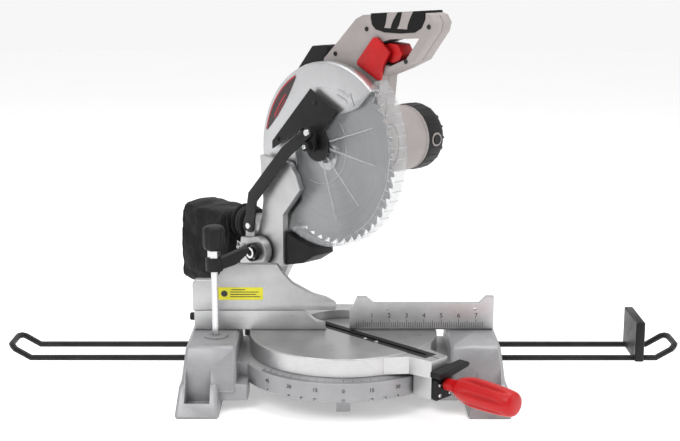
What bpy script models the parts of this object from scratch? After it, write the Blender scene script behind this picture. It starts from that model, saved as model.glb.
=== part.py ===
"""Compound miter saw: a turntable saw on a cast base, with a head that chops, bevels and turns.

Metres, +Z up. The origin lies on the floor under the turntable's axis. X runs along the fence,
Y towards the back. Saw-plane parts are drawn in the saw's own frame: x along the arm, towards
the operator, y to the operator's right, z up from the table top.
"""
from math import atan2, cos, degrees, pi, radians, sin

import bmesh
import bpy
from mathutils import Matrix, Vector

GAP = 0.0003                    # clearance between touching pieces

# Table and base
TABLE_TOP = 0.088               # height of the table top above the floor
TURNTABLE_R = 0.137
TURNTABLE_H = 0.026
RING_R = 0.150                  # outside of the base ring that carries the detents
RING_BOTTOM = -0.057
HUB_R = 0.021
TOWER_IN, TOWER_OUT = 0.152, 0.222
WIRE_R = 0.0045
WIRE_Z = -0.0318
WIRE_Y = (0.030, -0.033)
WIRE_END = 0.482
CLAMP_PLACE = (-0.184, -0.030, 0)
MITRE_LOCK_Z = -0.0330
DETENTS = (-45, -30, -22.5, -15, 0, 15, 22.5, 30, 45)

# Saw plane, measured from the table-top centre
MITRE_AT_REST = radians(-45)    # the arm points to the front right
PIVOT = Vector((-0.146, 0, 0.100))
ARBOR = Vector((-0.028, 0, 0.255))
GUARD_AXIS = Vector((-0.036, 0, 0.272))
LINK_ANCHOR = Vector((-0.166, 0, 0.136))
LINK_PIN = Vector((-0.0367, 0, 0.2917))
LOCK_PIN = Vector((-0.1740, 0, 0.1040))
MOTOR_OFFSET = Vector((0.034, 0, 0.018))   # motor axis from the arbor

BLADE_R = 0.127
BLADE_HALF = 0.0012
TEETH = 48
UPPER_R = 0.136                 # upper guard, about the arbor
UPPER_LEFT, UPPER_RIGHT = -0.0095, 0.0105
LOWER_R = 0.1492                # lower guard, about its own axis
LOWER_IN = 0.1473
LOWER_LEFT, LOWER_RIGHT = -0.0135, 0.0135

HOUSING_LEFT, HOUSING_RIGHT = 0.0205, 0.058
MOTOR_R = 0.048
MOTOR_END = 0.150
GEAR_MODULE = 0.00175
PINION_TEETH, GEAR_TEETH = 8, 36
BRUSH_AT = 0.1385                # the brushes, along the motor's axis

HANDLE_LEFT, HANDLE_MID, HANDLE_RIGHT = 0.020, 0.038, 0.056


# ---------------------------------------------------------------- scene and helpers

for old in list(bpy.data.objects):
    bpy.data.objects.remove(old)

parts = bpy.data.collections.new("compound_miter_saw")
cutters = bpy.data.collections.new("cutters")
bpy.context.scene.collection.children.link(parts)
bpy.context.scene.collection.children.link(cutters)


def material(name, colour, roughness, metallic):
    made = bpy.data.materials.new(name)
    made.use_nodes = True
    shader = made.node_tree.nodes["Principled BSDF"]
    shader.inputs["Base Color"].default_value = (*colour, 1)
    shader.inputs["Roughness"].default_value = roughness
    shader.inputs["Metallic"].default_value = metallic
    return made


CAST = material("cast_aluminium", (0.62, 0.62, 0.62), 0.42, 0.8)
BASE_PAINT = material("base_paint", (0.42, 0.42, 0.43), 0.5, 0.3)
STEEL = material("bright_steel", (0.75, 0.75, 0.76), 0.25, 1.0)
BLADE_STEEL = material("blade_steel", (0.66, 0.66, 0.67), 0.3, 1.0)
BLACK = material("black_plastic", (0.02, 0.02, 0.02), 0.45, 0.0)
DARK_STEEL = material("dark_steel", (0.06, 0.06, 0.065), 0.4, 0.6)
GREY_SHELL = material("warm_grey_plastic", (0.50, 0.46, 0.45), 0.5, 0.0)
RUBBER = material("black_rubber", (0.012, 0.012, 0.012), 0.75, 0.0)
RED = material("red_plastic", (0.55, 0.01, 0.01), 0.4, 0.0)
CLEAR = material("clear_plastic", (0.85, 0.87, 0.87), 0.08, 0.0)
CLOTH = material("black_cloth", (0.015, 0.015, 0.015), 0.9, 0.0)
COPPER = material("copper", (0.72, 0.35, 0.2), 0.35, 1.0)


def frame(name, place, parent=None, turn=0.0):
    """An empty that holds a moving body's pieces on its joint's axis."""
    empty = bpy.data.objects.new(name, None)
    parts.objects.link(empty)
    empty.location = place
    empty.rotation_euler = (0, 0, turn)
    empty.parent = parent
    return empty


def as_object(name, mesh, tool=False):
    made = bpy.data.objects.new(name, mesh)
    (cutters if tool else parts).objects.link(made)
    if tool:
        made.hide_render = True
        made.display_type = "WIRE"
    return made


def placed(made, parent, look=None):
    """Puts a piece, and the tools that shape it, in a frame."""
    made.parent = parent
    for modifier in made.modifiers:
        if modifier.type == "BOOLEAN":
            placed(modifier.object, parent)
    if look:
        made.data.materials.append(look)
        made.data.shade_smooth()
        made.data.set_sharp_from_angle(angle=radians(35))
    return made


def arc(centre, radius, start, stop, count):
    """Points along an arc, angles in degrees, both ends included."""
    step = radians(stop - start) / count
    turns = (radians(start) + step * i for i in range(count + 1))
    return [(centre[0] + radius * cos(t), centre[1] + radius * sin(t)) for t in turns]


def circle(centre, radius, count=20):
    return arc(centre, radius, 0, 360 - 360 / count, count - 1)


# a flat outline lies in the plane across its axis: Z holds (x, y), Y holds (x, z), X holds (y, z)
LAY = {
    "Z": Matrix.Identity(4),
    "Y": Matrix.Rotation(pi / 2, 4, "X"),
    "X": Matrix(((0, 0, 1, 0), (1, 0, 0, 0), (0, 1, 0, 0), (0, 0, 0, 1))),
}
TURN = {
    "Z": Matrix.Identity(4),
    "Y": Matrix.Rotation(-pi / 2, 4, "X"),
    "X": Matrix.Rotation(pi / 2, 4, "Y"),
}
AXIS = {"X": Vector((1, 0, 0)), "Y": Vector((0, 1, 0)), "Z": Vector((0, 0, 1))}


def curve_mesh(name, curve, matrix):
    """The evaluated curve as a mesh with its caps welded."""
    source = bpy.data.objects.new(name + "_curve", curve)
    cutters.objects.link(source)
    graph = bpy.context.evaluated_depsgraph_get()
    mesh = bpy.data.meshes.new_from_object(source.evaluated_get(graph))
    bpy.data.objects.remove(source)
    work = bmesh.new()
    work.from_mesh(mesh)
    bmesh.ops.remove_doubles(work, verts=work.verts, dist=0.00002)
    bmesh.ops.transform(work, matrix=matrix, verts=work.verts)
    bmesh.ops.recalc_face_normals(work, faces=work.faces)
    work.to_mesh(mesh)
    work.free()
    mesh.materials.clear()
    return mesh


def plate(name, outlines, low, high, axis="Y", tool=False):
    """A flat outline, with any holes as further outlines, between two offsets along its axis."""
    if isinstance(outlines[0][0], (int, float)):
        outlines = [outlines]
    curve = bpy.data.curves.new(name, "CURVE")
    curve.dimensions = "2D"
    curve.fill_mode = "BOTH"
    curve.extrude = (high - low) / 2
    for outline in outlines:
        spline = curve.splines.new("POLY")
        spline.points.add(len(outline) - 1)
        for point, (a, b) in zip(spline.points, outline):
            point.co = (a, b, 0, 1)
        spline.use_cyclic_u = True
    shift = Matrix.Translation(AXIS[axis] * (low + high) / 2)
    return as_object(name, curve_mesh(name, curve, shift @ LAY[axis]), tool)


def tube(name, points, radius, sides=2, closed=False, tool=False):
    """A round wire through the points."""
    curve = bpy.data.curves.new(name, "CURVE")
    curve.dimensions = "3D"
    curve.bevel_depth = radius
    curve.bevel_resolution = sides
    curve.use_fill_caps = not closed
    spline = curve.splines.new("POLY")
    spline.points.add(len(points) - 1)
    for point, place in zip(spline.points, points):
        point.co = (*place, 1)
    spline.use_cyclic_u = closed
    return as_object(name, curve_mesh(name, curve, Matrix.Identity(4)), tool)


def block(name, low, high, bevel=0.0, tool=False, top=None):
    """A box between two corners; top gives the corners of a tapered upper face."""
    work = bmesh.new()
    bmesh.ops.create_cube(work, size=1)
    for vert in work.verts:
        upper = vert.co.z > 0
        near, far = top if top and upper else (low, high)
        vert.co.x = far[0] if vert.co.x > 0 else near[0]
        vert.co.y = far[1] if vert.co.y > 0 else near[1]
        vert.co.z = high[2] if upper else low[2]
    mesh = bpy.data.meshes.new(name)
    work.to_mesh(mesh)
    work.free()
    made = as_object(name, mesh, tool)
    if bevel:
        rounded(made, bevel)
    return made


def rounded(made, width, segments=1, angle=40):
    bevel = made.modifiers.new("rounding", "BEVEL")
    bevel.width = width
    bevel.segments = segments
    bevel.limit_method = "ANGLE"
    bevel.angle_limit = radians(angle)
    bevel.use_clamp_overlap = True
    return made


def turned(name, profile, place=(0, 0, 0), axis="Z", steps=24, closed=False, tool=False):
    """A profile of (radius, height) turned about an axis; it runs down its outer side."""
    mesh = bpy.data.meshes.new(name)
    verts = [(r, 0, h) for r, h in profile]
    edges = [(i, i + 1) for i in range(len(verts) - 1)]
    if closed:
        edges.append((len(verts) - 1, 0))
    mesh.from_pydata(verts, edges, [])
    made = as_object(name, mesh, tool)
    screw = made.modifiers.new("turning", "SCREW")
    screw.steps = steps
    screw.render_steps = steps
    screw.use_merge_vertices = True
    screw.merge_threshold = 0.00001
    screw.use_smooth_shade = False
    made.matrix_basis = Matrix.Translation(Vector(place)) @ TURN[axis]
    return made


def disc(name, radius, low, high, place=(0, 0, 0), axis="Z", steps=24, tool=False):
    profile = [(0, high), (radius, high), (radius, low), (0, low)]
    return turned(name, profile, place, axis, steps, tool=tool)


def ring(name, outer, inner, low, high, place=(0, 0, 0), axis="Z", steps=24, tool=False):
    profile = [(outer, high), (outer, low), (inner, low), (inner, high)]
    return turned(name, profile, place, axis, steps, closed=True, tool=tool)


def boolean(made, tool, operation):
    modifier = made.modifiers.new(operation.lower(), "BOOLEAN")
    modifier.operation = operation
    modifier.object = tool
    modifier.solver = "EXACT"


def joined(made, *tools):
    for tool in tools:
        boolean(made, tool, "UNION")
    return made


def carved(made, *tools):
    for tool in tools:
        boolean(made, tool, "DIFFERENCE")
    return made


def about(centre, point):
    """A saw-plane point given from the table-top centre, moved to be given from another centre."""
    return (point[0] - centre.x, point[1] - centre.z)


# ---------------------------------------------------------------- frames on the joints' axes

table_frame = frame("table_frame", (0, 0, TABLE_TOP))
saw_frame = frame("mitre_axis", (0, 0, 0), table_frame, MITRE_AT_REST)
bevel_frame = frame("bevel_axis", (0, 0, 0), saw_frame)
head_frame = frame("chop_axis", PIVOT, bevel_frame)
arbor_frame = frame("arbor_axis", ARBOR - PIVOT, head_frame)
guard_frame = frame("guard_axis", GUARD_AXIS - PIVOT, head_frame)
link_frame = frame("link_axis", LINK_ANCHOR, bevel_frame)
motor_frame = frame("motor_axis", MOTOR_OFFSET, arbor_frame)
trigger_frame = frame("trigger_slide", Vector((0.052, 0, 0.407)) - ARBOR, arbor_frame)
release_frame = frame("release_axis", Vector((0.036, 0, 0.408)) - ARBOR, arbor_frame)
button_frame = frame("button_slide", (0, 0.0660, 0.0535), motor_frame)
lock_pin_frame = frame("lock_pin_slide", LOCK_PIN, bevel_frame)
detent_frame = frame("detent_axis", (0.1950, -0.004, -0.0150), saw_frame)
fence_slide_frame = frame("fence_slide", (0, 0, 0), table_frame)


# ---------------------------------------------------------------- base, fence and what they hold

def make_base():
    base = turned(
        "base_casting",
        [(0.150, -0.0310), (0.150, RING_BOTTOM), (0.120, RING_BOTTOM), (0.120, -0.0265), (0.138, -0.0265)],
        steps=60, closed=True,
    )
    hub = disc("base_hub", HUB_R, -TABLE_TOP, -0.0265, tool=True)
    joined(base, hub)
    spoke_low, spoke_high = -0.080, -0.046
    joined(base, block("spoke_x", (-0.124, -0.011, spoke_low), (0.124, 0.011, spoke_high), tool=True))
    joined(base, block("spoke_y", (-0.010, -0.124, spoke_low), (0.010, 0.124, spoke_high), tool=True))
    for side in (-1, 1):
        joined(base, *make_tower(side))
    for side in (-1, 1):
        carved(base, *foot_cutters(side))
    for y in WIRE_Y:
        for side in (-1, 1):
            name = f"wire_bore_{y:.3f}_{side}"
            near, far = box_of(side, 0.1545, 0.240)
            carved(base, disc(name, WIRE_R + 0.0008, near, far, (0, y, WIRE_Z), "X", 12, tool=True))
    for number, degree in enumerate(DETENTS):
        turn = radians(degree - 90)
        notch = block(f"detent_{number}", (-0.006, -0.0025, -0.0050), (0.006, 0.0025, 0.0045), tool=True)
        notch.location = (RING_R * cos(turn), RING_R * sin(turn), RING_BOTTOM)
        notch.rotation_euler = (0, 0, turn)
        carved(base, notch)
    carved(base, disc("bolt_bore", 0.0064, -0.070, -0.020, steps=16, tool=True))
    carved(base, disc("clamp_bore", 0.0053, -0.024, 0.010, CLAMP_PLACE, steps=16, tool=True))
    return placed(base, table_frame, BASE_PAINT)


def box_of(side, near, far):
    """X limits of a box on one side, in rising order."""
    return sorted((side * near, side * far))


def make_tower(side):
    """One side of the base: a tapered block, its two feet and the webs to the ring."""
    x0, x1 = box_of(side, 0.150, 0.229)
    t0, t1 = box_of(side, TOWER_IN, TOWER_OUT)
    tower = block(f"tower_{side}", (x0, -0.104, -0.062), (x1, 0.070, -GAP), 0.004, True,
                  top=((t0, -0.077), (t1, 0.052)))
    f0, f1 = box_of(side, 0.172, 0.234)
    g0, g1 = box_of(side, 0.176, 0.229)
    front = block(f"front_foot_{side}", (f0, -0.134, -TABLE_TOP), (f1, -0.060, -0.048), 0.003, True,
                  top=((g0, -0.106), (g1, -0.060)))
    rear = block(f"rear_foot_{side}", (f0, 0.038, -TABLE_TOP), (f1, 0.098, -0.048), 0.003, True,
                 top=((g0, 0.038), (g1, 0.072)))
    w0, w1 = box_of(side, 0.124, 0.156)
    web = block(f"web_{side}", (w0, -0.062, -0.056), (w1, 0.062, -0.029), 0, True)
    s0, s1 = box_of(side, 0.134, 0.180)
    skirt = block(f"skirt_{side}", (s0, -0.098, -0.074), (s1, -0.058, -0.050), 0.002, True)
    made = [tower, front, rear, web, skirt]
    if side < 0:
        made.append(disc("clamp_boss", 0.0175, -0.004, 0.0022, CLAMP_PLACE, tool=True))
    return made


def foot_cutters(side):
    """The pocket and the bolt slot in each foot."""
    a0, a1 = box_of(side, 0.186, 0.221)
    b0, b1 = box_of(side, 0.199, 0.210)
    made = []
    for name, near, far in (("front", -0.121, -0.090), ("rear", 0.066, 0.088)):
        made.append(block(f"{name}_pocket_{side}", (a0, near, -0.078), (a1, far, -0.030), 0, True))
        made.append(block(f"{name}_slot_{side}", (b0, near + 0.006, -0.100), (b1, far - 0.006, -0.070), 0, True))
    return made


def make_pivot_bolt():
    bolt = turned("turntable_pivot_bolt", [(0, -0.0125), (0.006, -0.0125), (0.006, -0.066), (0, -0.066)], steps=16)
    return placed(bolt, table_frame, STEEL)


def make_fence():
    """Both lower fence halves, their feet and the arch that joins them behind the blade."""
    inner = arc((0, 0), 0.060, 150, 39.6, 14)
    outer = arc((0, 0), 0.088, 25, 155, 14)
    foot = [(-0.2175, GAP), (-0.026, GAP), *inner, (0.0085, GAP), (0.2195, GAP), (0.2195, 0.040)]
    foot += [*outer, (-0.2175, 0.040)]
    fence = plate("fence", foot, GAP, 0.0125, "Z")
    low = 2 * GAP
    left = [(-0.218, low), (-0.025, low), (-0.059, 0.0292), (-0.218, 0.0292)]
    right = [(0.008, low), (0.220, low), (0.220, 0.050), (0.2085, 0.050), (0.199, 0.040), (0.045, 0.040)]
    right += [(0.034, 0.049), (0.020, 0.049), (0.013, 0.034), (0.008, 0.031)]
    joined(fence, plate("fence_left", left, 0, 0.012, tool=True))
    joined(fence, plate("fence_right", right, 0, 0.010, tool=True))
    for x in (0.075, 0.150, 0.212):
        web = plate(f"fence_web_{x}", [(0.006, 0.008), (0.038, 0.008), (0.006, 0.027)], x - 0.003, x + 0.003,
                    "X", tool=True)
        joined(fence, web)
    relief = [(0.005, -0.004), (0.033, 0.024), (0, 0.024), (0, -0.004)]
    for x, z in ((0.064, 0.0306), (0.193, 0.0313)):
        carved(fence, disc(f"fence_hole_{x}", 0.0025, -0.01, 0.02, (x, 0, z), "Y", 10, tool=True))
    carved(fence, plate("blade_relief", relief, -0.01, 0.06, "Z", tool=True))
    carved(fence, disc("lock_bore", 0.0033, -0.230, -0.2035, (0, 0.006, 0.019), "X", 12, tool=True))
    return placed(fence, table_frame, CAST)


def make_sliding_fence():
    top = [(-0.220, 0.0297), (-0.220, 0.070), (-0.215, 0.075), (-0.185, 0.075), (-0.171, 0.098)]
    top += [(-0.096, 0.098), (-0.088, 0.085), (-0.074, 0.070), (-0.044, 0.053), (-0.013, 0.044)]
    top += [(-0.0095, 0.041), (-0.0095, 0.033), (-0.013, 0.0297)]
    slider = plate("sliding_fence", top, 0, 0.0145)
    rail = plate("fence_rail", [(-0.200, 0.0145), (-0.105, 0.0145), (-0.105, 0.060), (-0.200, 0.060)],
                 0.0137, 0.0180, tool=True)
    lower = plate("fence_rail_slot", [(-0.230, 0), (-0.100, 0), (-0.100, 0.0296), (-0.230, 0.0296)],
                  -0.01, 0.0123, tool=True)
    relief = [(-0.0050, -0.0045), (0.010, -0.0045), (0.010, 0.030), (-0.0395, 0.030)]
    joined(slider, rail)
    carved(slider, lower, plate("tip_relief", relief, 0, 0.12, "Z", tool=True))
    return placed(slider, fence_slide_frame, CAST)


def make_fence_lock():
    screw = turned("fence_lock_screw", [(0, 0), (0.0045, 0), (0.0058, -0.0015), (0.0058, -0.0065),
                                        (0.0030, -0.0065), (0.0030, -0.0205), (0, -0.0205)],
                   (-0.225, 0.006, 0.019), "X", 16)
    screw.rotation_euler = (0, -pi / 2, 0)
    return placed(screw, table_frame, DARK_STEEL)


def make_extension(side):
    """A wire loop that slides in the base; its outer end kinks up."""
    name = "left_extension_bar" if side < 0 else "right_extension_bar"
    bend = 0.012
    points = [(side * 0.156, WIRE_Y[0], WIRE_Z)]
    points += [(side * (WIRE_END - 0.030), WIRE_Y[0], WIRE_Z)]
    points += [(side * (WIRE_END - 0.008), WIRE_Y[0], WIRE_Z + 0.013)]
    points += [(side * (WIRE_END - bend / 3), WIRE_Y[0] - bend / 3, WIRE_Z + 0.0155)]
    points += [(side * WIRE_END, WIRE_Y[0] - bend, WIRE_Z + 0.0165)]
    points += [(side * WIRE_END, WIRE_Y[1] + bend, WIRE_Z + 0.0165)]
    points += [(side * (WIRE_END - bend / 3), WIRE_Y[1] + bend / 3, WIRE_Z + 0.0155)]
    points += [(side * (WIRE_END - 0.008), WIRE_Y[1], WIRE_Z + 0.013)]
    points += [(side * (WIRE_END - 0.030), WIRE_Y[1], WIRE_Z)]
    points += [(side * 0.156, WIRE_Y[1], WIRE_Z)]
    bar = tube(name, points, WIRE_R, 2)
    return placed(bar, table_frame, DARK_STEEL)


def make_stop():
    """The work stop: a plate across both wires, gripping them from above."""
    low_z = WIRE_Z - WIRE_R
    stop = block("stop_block", (0.4200, WIRE_Y[1] - 0.010, low_z + 0.001), (0.4330, WIRE_Y[0] + 0.010, 0.024), 0.0015)
    for y in WIRE_Y:
        carved(stop, disc(f"stop_bore_{y:.3f}", WIRE_R + GAP, 0.400, 0.450, (0, y, WIRE_Z), "X", 12, tool=True))
    return placed(stop, table_frame, DARK_STEEL)


def make_clamp():
    """A post in the base with a pressing arm, held down by a nut and a knob."""
    rod = disc("clamp_rod", 0.005, -0.0235, 0.128, CLAMP_PLACE, steps=16)
    placed(rod, table_frame, STEEL)
    arm = ring("clamp_arm", 0.0125, 0.0053, 0.098, 0.1165, CLAMP_PLACE, steps=20)
    outline = [(0.009, 0.100), (0.030, 0.106), (0.046, 0.120), (0.050, 0.128), (0.040, 0.128), (0.009, 0.1155)]
    reach = plate("clamp_reach", outline, -0.007, 0.007, "Y", tool=True)
    reach.location = CLAMP_PLACE
    reach.rotation_euler = (0, 0, radians(14))
    joined(arm, reach)
    placed(arm, table_frame, BLACK)
    nut = ring("clamp_nut", 0.0095, 0.0061, 0.1168, 0.1275, CLAMP_PLACE, steps=6)
    placed(nut, table_frame, STEEL)
    knob = disc("clamp_knob", 0.0160, 0.1283, 0.1635, CLAMP_PLACE, steps=20)
    rounded(knob, 0.004, 2)
    return placed(knob, table_frame, BLACK)


# ---------------------------------------------------------------- turntable and bevel post

def make_turntable():
    profile = [(0, 0), (TURNTABLE_R - 0.0015, 0), (TURNTABLE_R, -0.0015), (TURNTABLE_R, -TURNTABLE_H)]
    profile += [(TURNTABLE_R - 0.006, -TURNTABLE_H), (TURNTABLE_R - 0.006, -0.008), (0.018, -0.008)]
    profile += [(0.018, -TURNTABLE_H), (0.0063, -TURNTABLE_H), (0.0063, -0.0118), (0, -0.0118)]
    table = turned("turntable", profile, steps=64)
    nose = [(0.118, -0.052), (0.128, -0.050), (0.150, -0.022), (0.186, -0.0165)]
    nose += [(0.186, 0.0165), (0.150, 0.022), (0.128, 0.050), (0.118, 0.052)]
    arm = plate("table_arm", nose, -0.0255, -0.0006, "Z", tool=True)
    leg = block("table_leg", (0.1535, -0.0165, -0.056), (0.186, 0.0165, -0.010), 0, True)
    tail = [(-0.120, -0.003), (-0.162, -0.003), (-0.162, -0.042), (-0.184, -0.042), (-0.184, 0.006)]
    tail += [(-0.204, 0.006), (-0.204, -0.056), (-0.1535, -0.056), (-0.1535, -0.0255), (-0.120, -0.0255)]
    rear = plate("table_tail", tail, -0.032, 0.032, tool=True)
    knuckle = disc("table_knuckle", 0.036, -0.204, -0.184, axis="X", steps=28, tool=True)
    joined(table, arm, leg, rear, knuckle)
    carved(table, block("insert_seat", (-0.0905, -0.0118, -0.0038), (0.1705, 0.0118, 0.01), 0, True))
    carved(table, block("kerf", (-0.034, -0.0042, -0.0106), (0.126, 0.0042, 0.001), 0, True))
    carved(table, block("kerf_front", (0.120, -0.0042, -0.015), (0.1655, 0.0042, 0.001), 0, True))
    carved(table, disc("bevel_bolt_bore", 0.0086, -0.22, -0.17, axis="X", steps=20, tool=True))
    carved(table, disc("bolt_head_room", 0.0140, -0.170, -0.150, axis="X", steps=20, tool=True))
    carved(table, disc("lock_rod_bore", 0.0046, 0.150, 0.20, (0, 0, MITRE_LOCK_Z), "X", 12, tool=True))
    return placed(table, saw_frame, CAST)


def make_insert():
    outline = [(-0.0900, -0.0115), (0.1700, -0.0115), (0.1700, 0.0115), (-0.0900, 0.0115)]
    slot = [(-0.0820, -0.0032), (0.1620, -0.0032), (0.1620, 0.0032), (-0.0820, 0.0032)]
    return placed(plate("kerf_insert", [outline, slot], -0.0035, -0.0004, "Z"), saw_frame, DARK_STEEL)


def make_arm_bracket():
    bracket = block("arm_bracket", (0.1864, -0.0165, -0.056), (0.1960, 0.0165, -0.0255), 0.002)
    carved(bracket, disc("bracket_bore", 0.0046, 0.180, 0.200, (0, 0, MITRE_LOCK_Z), "X", 12, tool=True))
    return placed(bracket, saw_frame, BLACK)


def make_detent_lever():
    outline = [(-0.016, -0.0075), (0.012, -0.0075), (0.046, -0.0020), (0.049, 0.0015), (0.046, 0.0045)]
    outline += [(0.020, 0.0030), (-0.016, 0.0010)]
    lever = plate("detent_lever", outline, -0.0085, 0.0085, "X")
    return placed(lever, detent_frame, BLACK)


def make_mitre_lock():
    rod = disc("mitre_lock_rod", 0.004, 0.1515, 0.2140, steps=12, axis="X", place=(0, 0, MITRE_LOCK_Z))
    placed(rod, saw_frame, STEEL)
    profile = [(0, 0.319), (0.0120, 0.319), (0.0165, 0.3155), (0.0190, 0.300), (0.0205, 0.262), (0.0205, 0.247)]
    profile += [(0.0165, 0.230), (0.0088, 0.216), (0.0085, 0.1990), (0.0043, 0.1990), (0.0043, 0.2145), (0, 0.2145)]
    handle = turned("mitre_lock_handle", profile, (0, 0, MITRE_LOCK_Z), "X", 20)
    return placed(handle, saw_frame, RED)


def make_bevel_post():
    """The tilting bracket: a disc on the bevel bolt, two ears round the head's pivot shaft."""
    post = disc("bevel_bracket", 0.0355, -0.1835, -0.1625, axis="X", steps=28)
    waist = block("bevel_waist", (-0.1832, -0.0398, 0.002), (-0.1628, 0.0398, 0.042), 0, True)
    joined(post, waist)
    hub = arc((PIVOT.x, PIVOT.z), 0.022, -30, 120, 10)
    ear = [(-0.1829, 0.007), (-0.1631, 0.007), (-0.1631, 0.042), (-0.152, 0.060), *hub, (-0.1800, 0.117), (-0.1829, 0.100)]
    for side in (-1, 1):
        low, high = sorted((side * 0.0275, side * 0.0400))
        joined(post, plate(f"bevel_ear_{side}", ear, low, high, tool=True))
    bores = (("shaft_bore", 0.0088, PIVOT.x, PIVOT.z), ("anchor_bore", 0.0028, LINK_ANCHOR.x, LINK_ANCHOR.z),
             ("pin_bore", 0.0033, LOCK_PIN.x, LOCK_PIN.z))
    stand = plate("anchor_stand", [(-0.1795, 0.100), (-0.158, 0.112), (-0.157, 0.139), (-0.162, 0.145),
                                   (-0.171, 0.145), (-0.176, 0.139)], -0.0325, -0.0285, tool=True)
    joined(post, stand)
    for name, radius, x, z in bores:
        low = -0.060 if name != "anchor_bore" else -0.050
        high = 0.060 if name == "shaft_bore" else -0.020
        carved(post, disc(name, radius, low, high, (x, 0, z), "Y", 16, tool=True))
    carved(post, disc("bevel_bore", 0.0086, -0.20, -0.15, axis="X", steps=20, tool=True))
    return placed(post, bevel_frame, CAST)


def make_bevel_bolt():
    bolt = turned("bevel_pivot_bolt", [(0, -0.1585), (0.0125, -0.1585), (0.0125, -0.1622), (0.0083, -0.1622),
                                       (0.0083, -0.2085), (0, -0.2085)], axis="X", steps=20)
    return placed(bolt, saw_frame, STEEL)


def make_bevel_lever():
    """The clamping lever behind the knuckle, turning on the bevel bolt."""
    lever = ring("bevel_lock_lever", 0.0150, 0.0086, -0.2180, -0.2045, axis="X", steps=20)
    outline = [(0.010, -0.006), (0.052, 0.010), (0.066, 0.010), (0.066, 0.022), (0.050, 0.022), (0.008, 0.008)]
    joined(lever, plate("bevel_lever_arm", outline, -0.2165, -0.2075, "X", tool=True))
    return placed(lever, saw_frame, BLACK)


def make_pivot_shaft():
    shaft = disc("head_pivot_shaft", 0.0085, -0.0530, 0.0440, axis="Y", steps=20)
    carved(shaft, disc("shaft_hollow", 0.0052, -0.060, -0.038, axis="Y", steps=16, tool=True))
    return placed(shaft, head_frame, STEEL)


def make_spring():
    turns, per_turn, radius = 3, 14, 0.0128
    low, high = -0.0425, -0.0510
    points = []
    for i in range(turns * per_turn + 1):
        angle = 2 * pi * i / per_turn
        points.append((radius * cos(angle), low + (high - low) * i / (turns * per_turn), radius * sin(angle)))
    return placed(tube("torsion_spring", points, 0.0013, 1), head_frame, DARK_STEEL)


def make_lock_pin():
    pin = disc("head_lock_pin", 0.0030, -0.0520, -0.0285, axis="Y", steps=12)
    loop = [(0, 0.009), *[(0.0085 * cos(t), 0.009 * sin(t)) for t in (1.0, 0.5, 0, -0.5, -1.0)], (0, -0.009)]
    points = [(a, -0.0515, b) for a, b in loop]
    joined(pin, tube("lock_pin_ring", points, 0.0017, 1, closed=True, tool=True))
    return placed(pin, lock_pin_frame, STEEL)


# ---------------------------------------------------------------- head: arm, guards and blade

def from_arbor(*points):
    return [about(ARBOR, p) for p in points]


def about3(point, y):
    x, z = about(ARBOR, point)
    return (x, y, z)


def make_head_arm():
    """Two cheeks either side of the blade, closed behind it, round the pivot shaft."""
    outline = from_arbor((-0.152, 0.245), (-0.149, 0.205), (-0.146, 0.178), (-0.150, 0.152), (-0.156, 0.131),
                         (-0.166, 0.112), (-0.167, 0.098), (-0.160, 0.085), (-0.146, 0.078), (-0.118, 0.076),
                         (-0.103, 0.082), (-0.103, 0.160), (-0.066, 0.203), (-0.075, 0.224), (-0.090, 0.240))
    arm = plate("head_arm", outline, -0.0240, 0.0240)
    centre = about(ARBOR, (GUARD_AXIS.x, GUARD_AXIS.z))
    slot = disc("blade_slot", 0.1515, -0.0141, 0.0150, (centre[0], 0, centre[1]), "Y", 60, tool=True)
    pivot = about(ARBOR, (PIVOT.x, PIVOT.z))
    bore = disc("arm_bore", 0.0088, -0.03, 0.03, (pivot[0], 0, pivot[1]), "Y", 20, tool=True)
    port = disc("dust_port", 0.0170, -0.1760, -0.1160, about3((ARBOR.x, 0.130), 0.002), "X", 20, tool=True)
    joined(arm, port)
    carved(arm, slot, bore)
    return placed(arm, arbor_frame, CAST)


def make_upper_guard():
    """A drum open below, with the gear housing's collar on its right wall."""
    left, right, wall = UPPER_LEFT, UPPER_RIGHT, 0.0022
    outer, inner = UPPER_R, UPPER_R - 0.0025
    section = [(0.100, right), (outer - 0.005, right), (outer - 0.0015, right - 0.0015), (outer, right - 0.005)]
    section += [(outer, left + 0.005), (outer - 0.0015, left + 0.0015), (outer - 0.005, left), (0.100, left)]
    section += [(0.100, left + wall), (inner - 0.003, left + wall), (inner, left + 0.005)]
    section += [(inner, right - 0.005), (inner - 0.003, right - wall), (0.100, right - wall)]
    guard = turned("upper_guard", section, axis="Y", steps=56, closed=True)
    window = arc((0, 0), 0.170, -152, 48, 20)
    missing = [(-0.058, -0.024), *window, (0.020, 0.030)]
    carved(guard, plate("guard_opening", missing, -0.03, 0.03, tool=True))
    face = [*arc((0, 0), 0.104, 49, 206, 14), (-0.062, -0.024), *arc((0, 0), 0.062, 196, 74, 10),
            (0.043, 0.068), (0.060, 0.074)]
    joined(guard, plate("guard_left_face", face, left + GAP / 2, left + wall - GAP / 2, tool=True))
    back = [*arc((0, 0), 0.104, 49, 206, 14), (-0.060, -0.040), *arc((0, 0), 0.058, 225, 360, 10), (0.066, 0.050)]
    joined(guard, plate("guard_right_face", back, right - wall + GAP / 2, right - GAP / 2, tool=True))
    joined(guard, disc("guard_collar", 0.044, right - 0.001, HOUSING_LEFT - GAP, axis="Y", steps=28, tool=True))
    boss = about3((-0.114, 0.226), 0)
    joined(guard, disc("guard_mount", 0.0120, right - 0.001, 0.0147, boss, "Y", 18, tool=True))
    carved(guard, disc("spindle_passage", 0.0125, -0.03, 0.03, axis="Y", steps=20, tool=True))
    return placed(guard, arbor_frame, CAST)


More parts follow.
